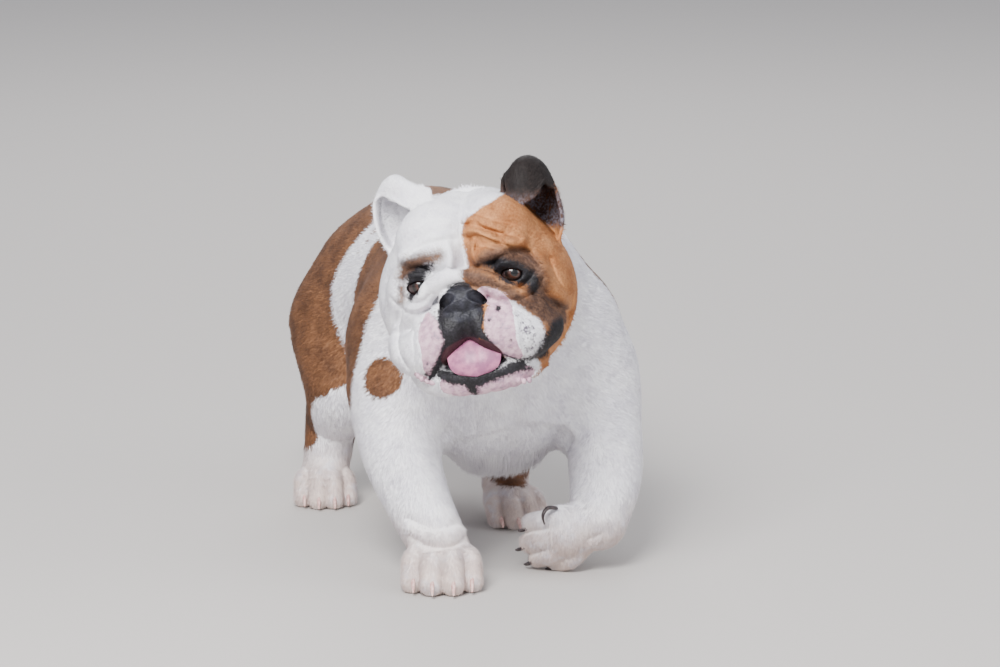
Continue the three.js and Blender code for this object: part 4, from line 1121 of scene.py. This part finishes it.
for name, sign in (("left", 1), ("right", -1)):
    gaze = towards_viewer + np.array((0.22, 0, -0.02))
    eye = eyeball(f"eyeball_{name}", EYE_MIDDLE * (sign, 1, 1), gaze)
    eye.data.materials.append(eye_material)
    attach(eye, "root")
    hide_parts(f"eye_{name}")

# Tongue: a broad wet muscle that rises behind the lower lip and lies over it, with a shallow groove. It
# is a flat tube along a bent line.
TONGUE = (
    (-44, -60, 22, 9), (-66, -54, 26, 9), (-86, -53, 28, 9), (-99, -59, 29, 8.5), (-107, -69, 28, 8),
    (-111, -78, 26.5, 7), (-112, -85, 23, 6), (-111.5, -90, 15, 5), (-111, -92, 3, 3),
)


def tongue_points(rows=44, columns=40):
    line = smooth_line(TONGUE, rows)
    path = line[:, :2]
    run = np.gradient(path, axis=0)
    run /= np.linalg.norm(run, axis=1)[:, None]
    lift = np.stack((run[:, 1], -run[:, 0]), 1)
    turn = np.linspace(0, 2 * np.pi, columns, endpoint=False)
    result = []
    for (y, z, width, thick), out in zip(line, lift):
        u, v = np.cos(turn), np.sin(turn)
        rise = thick * v * np.sqrt(np.maximum(0.15, 1 - 0.8 * u * u)) * 0.5
        rise += np.where(v > 0, -1.8 * np.exp(-((u / 0.12) ** 2)), 0) - 2.6 * u * u
        result.append(np.stack((2 + width * u, y + out[0] * rise, z + out[1] * rise), 1))
    return np.array(result)


def tube_faces(rows, columns):
    """The sides of a tube of rings, each ring next to the one before it"""
    faces = []
    for i in range(rows - 1):
        for j in range(columns):
            k = (j + 1) % columns
            faces.append((i * columns + j, i * columns + k, (i + 1) * columns + k, (i + 1) * columns + j))
    return faces


grid = tongue_points()
rows, columns = grid.shape[:2]
faces = tube_faces(rows, columns)
faces += [tuple(range(columns))[::-1], tuple((rows - 1) * columns + j for j in range(columns))]
tongue = new_mesh("wet_tongue", HEAD.out(grid.reshape(-1, 3)), faces)
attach(tongue, "root")
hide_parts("tongue")
tongue_material, make, shader = new_material("tongue")
spot = make.node("TexCoord", out=3)
cloud = make.node("TexNoise", Vector=spot, Scale=120.0, Detail=4.0)
buds = make.node("TexVoronoi", Vector=spot, Scale=700.0)
cloud.step(0.35, 0.65).mix(rgb(184, 112, 144), rgb(146, 84, 118)).feed(shader.inputs["Base Color"])
(0.42 + cloud * 0.2).feed(shader.inputs["Roughness"])
make.node("Bump", Strength=0.35, Distance=0.0005, Height=buds).feed(shader.inputs["Normal"])
shader.inputs["Coat Weight"].default_value = 0.2
shader.inputs["Coat Roughness"].default_value = 0.25
tongue.data.materials.append(tongue_material)


# Claws: horn, curved down, four to a paw, pale on the standing paws and dark on the lifted one, which
# also has a long dewclaw. Each grows from the end of its toe.
def horn(line):
    """A tapered, curved claw with a round root"""
    path = smooth_line(line, 12)
    middles, radii = path[:, :3], path[:, 3]
    run = np.gradient(middles, axis=0)
    run /= np.linalg.norm(run, axis=1)[:, None]
    side_way = np.cross(run, (0.3, 0.2, 1))
    side_way /= np.linalg.norm(side_way, axis=1)[:, None]
    over = np.cross(side_way, run)
    turn = np.linspace(0, 2 * np.pi, 14, endpoint=False)
    ring = np.cos(turn)[:, None, None] * side_way * 0.72 + np.sin(turn)[:, None, None] * over
    ring = ring.transpose(1, 0, 2)
    corners = (middles[:, None] + ring * radii[:, None, None]).reshape(-1, 3)
    corners = np.vstack((corners, middles[-1] + run[-1] * radii[-1] * 0.6))
    count = len(turn)
    faces = tube_faces(len(path), count)
    tip, last = len(corners) - 1, (len(path) - 1) * count
    faces += [(last + (j + 1) % count, last + j, tip) for j in range(count)]
    faces.append(tuple(range(count))[::-1])
    return corners, faces


def claw_material(name, dark, light):
    material, make, shader = new_material(name)
    grain = make.node("TexNoise", Vector=make.node("TexCoord", out=3), Scale=300.0, Detail=2.0)
    grain.step(0.35, 0.65).mix(dark, light).feed(shader.inputs["Base Color"])
    (0.28 + grain * 0.2).feed(shader.inputs["Roughness"])
    return material


dark_horn = claw_material("dark_horn", rgb(38, 32, 34), rgb(70, 58, 58))
pale_horn = claw_material("pale_horn", rgb(196, 148, 142), rgb(222, 186, 178))
CLAW_BEND = (((0, 0, 0), 3.6), ((0.2, -8, -1.5), 3.3), ((0.3, -14, -6), 2.4), ((0.3, -17, -11.5), 0.9))
DEWCLAW = np.array(((26, -194, 72), (15, -199, 74), (9, -201, 67), (11, -200, 57)))
DEWCLAW_RADII = (3.2, 3, 2.4, 1)
for paw, (place, width, size) in PAWS.items():
    corners, faces, lines = [], [], []
    for x, y in TOES:
        x *= width
        claw_root = np.array((1.05 * x, y - 12, 15.5))
        lines.append([(*(claw_root + off), radius) for off, radius in CLAW_BEND])
    if paw == "lifted":
        lines.append([(*(p / size), radius) for p, radius in zip(place.inside(DEWCLAW), DEWCLAW_RADII)])
    for line in lines:
        more, sides = horn([tuple(np.array(p) * size) for p in line])
        start = sum(map(len, corners))
        faces += [tuple(i + start for i in face) for face in sides]
        corners.append(more)
    claws = new_mesh(f"claws_{paw}", place.out(np.vstack(corners)), faces)
    claws.data.materials.append(dark_horn if paw == "lifted" else pale_horn)
    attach(claws, "root")
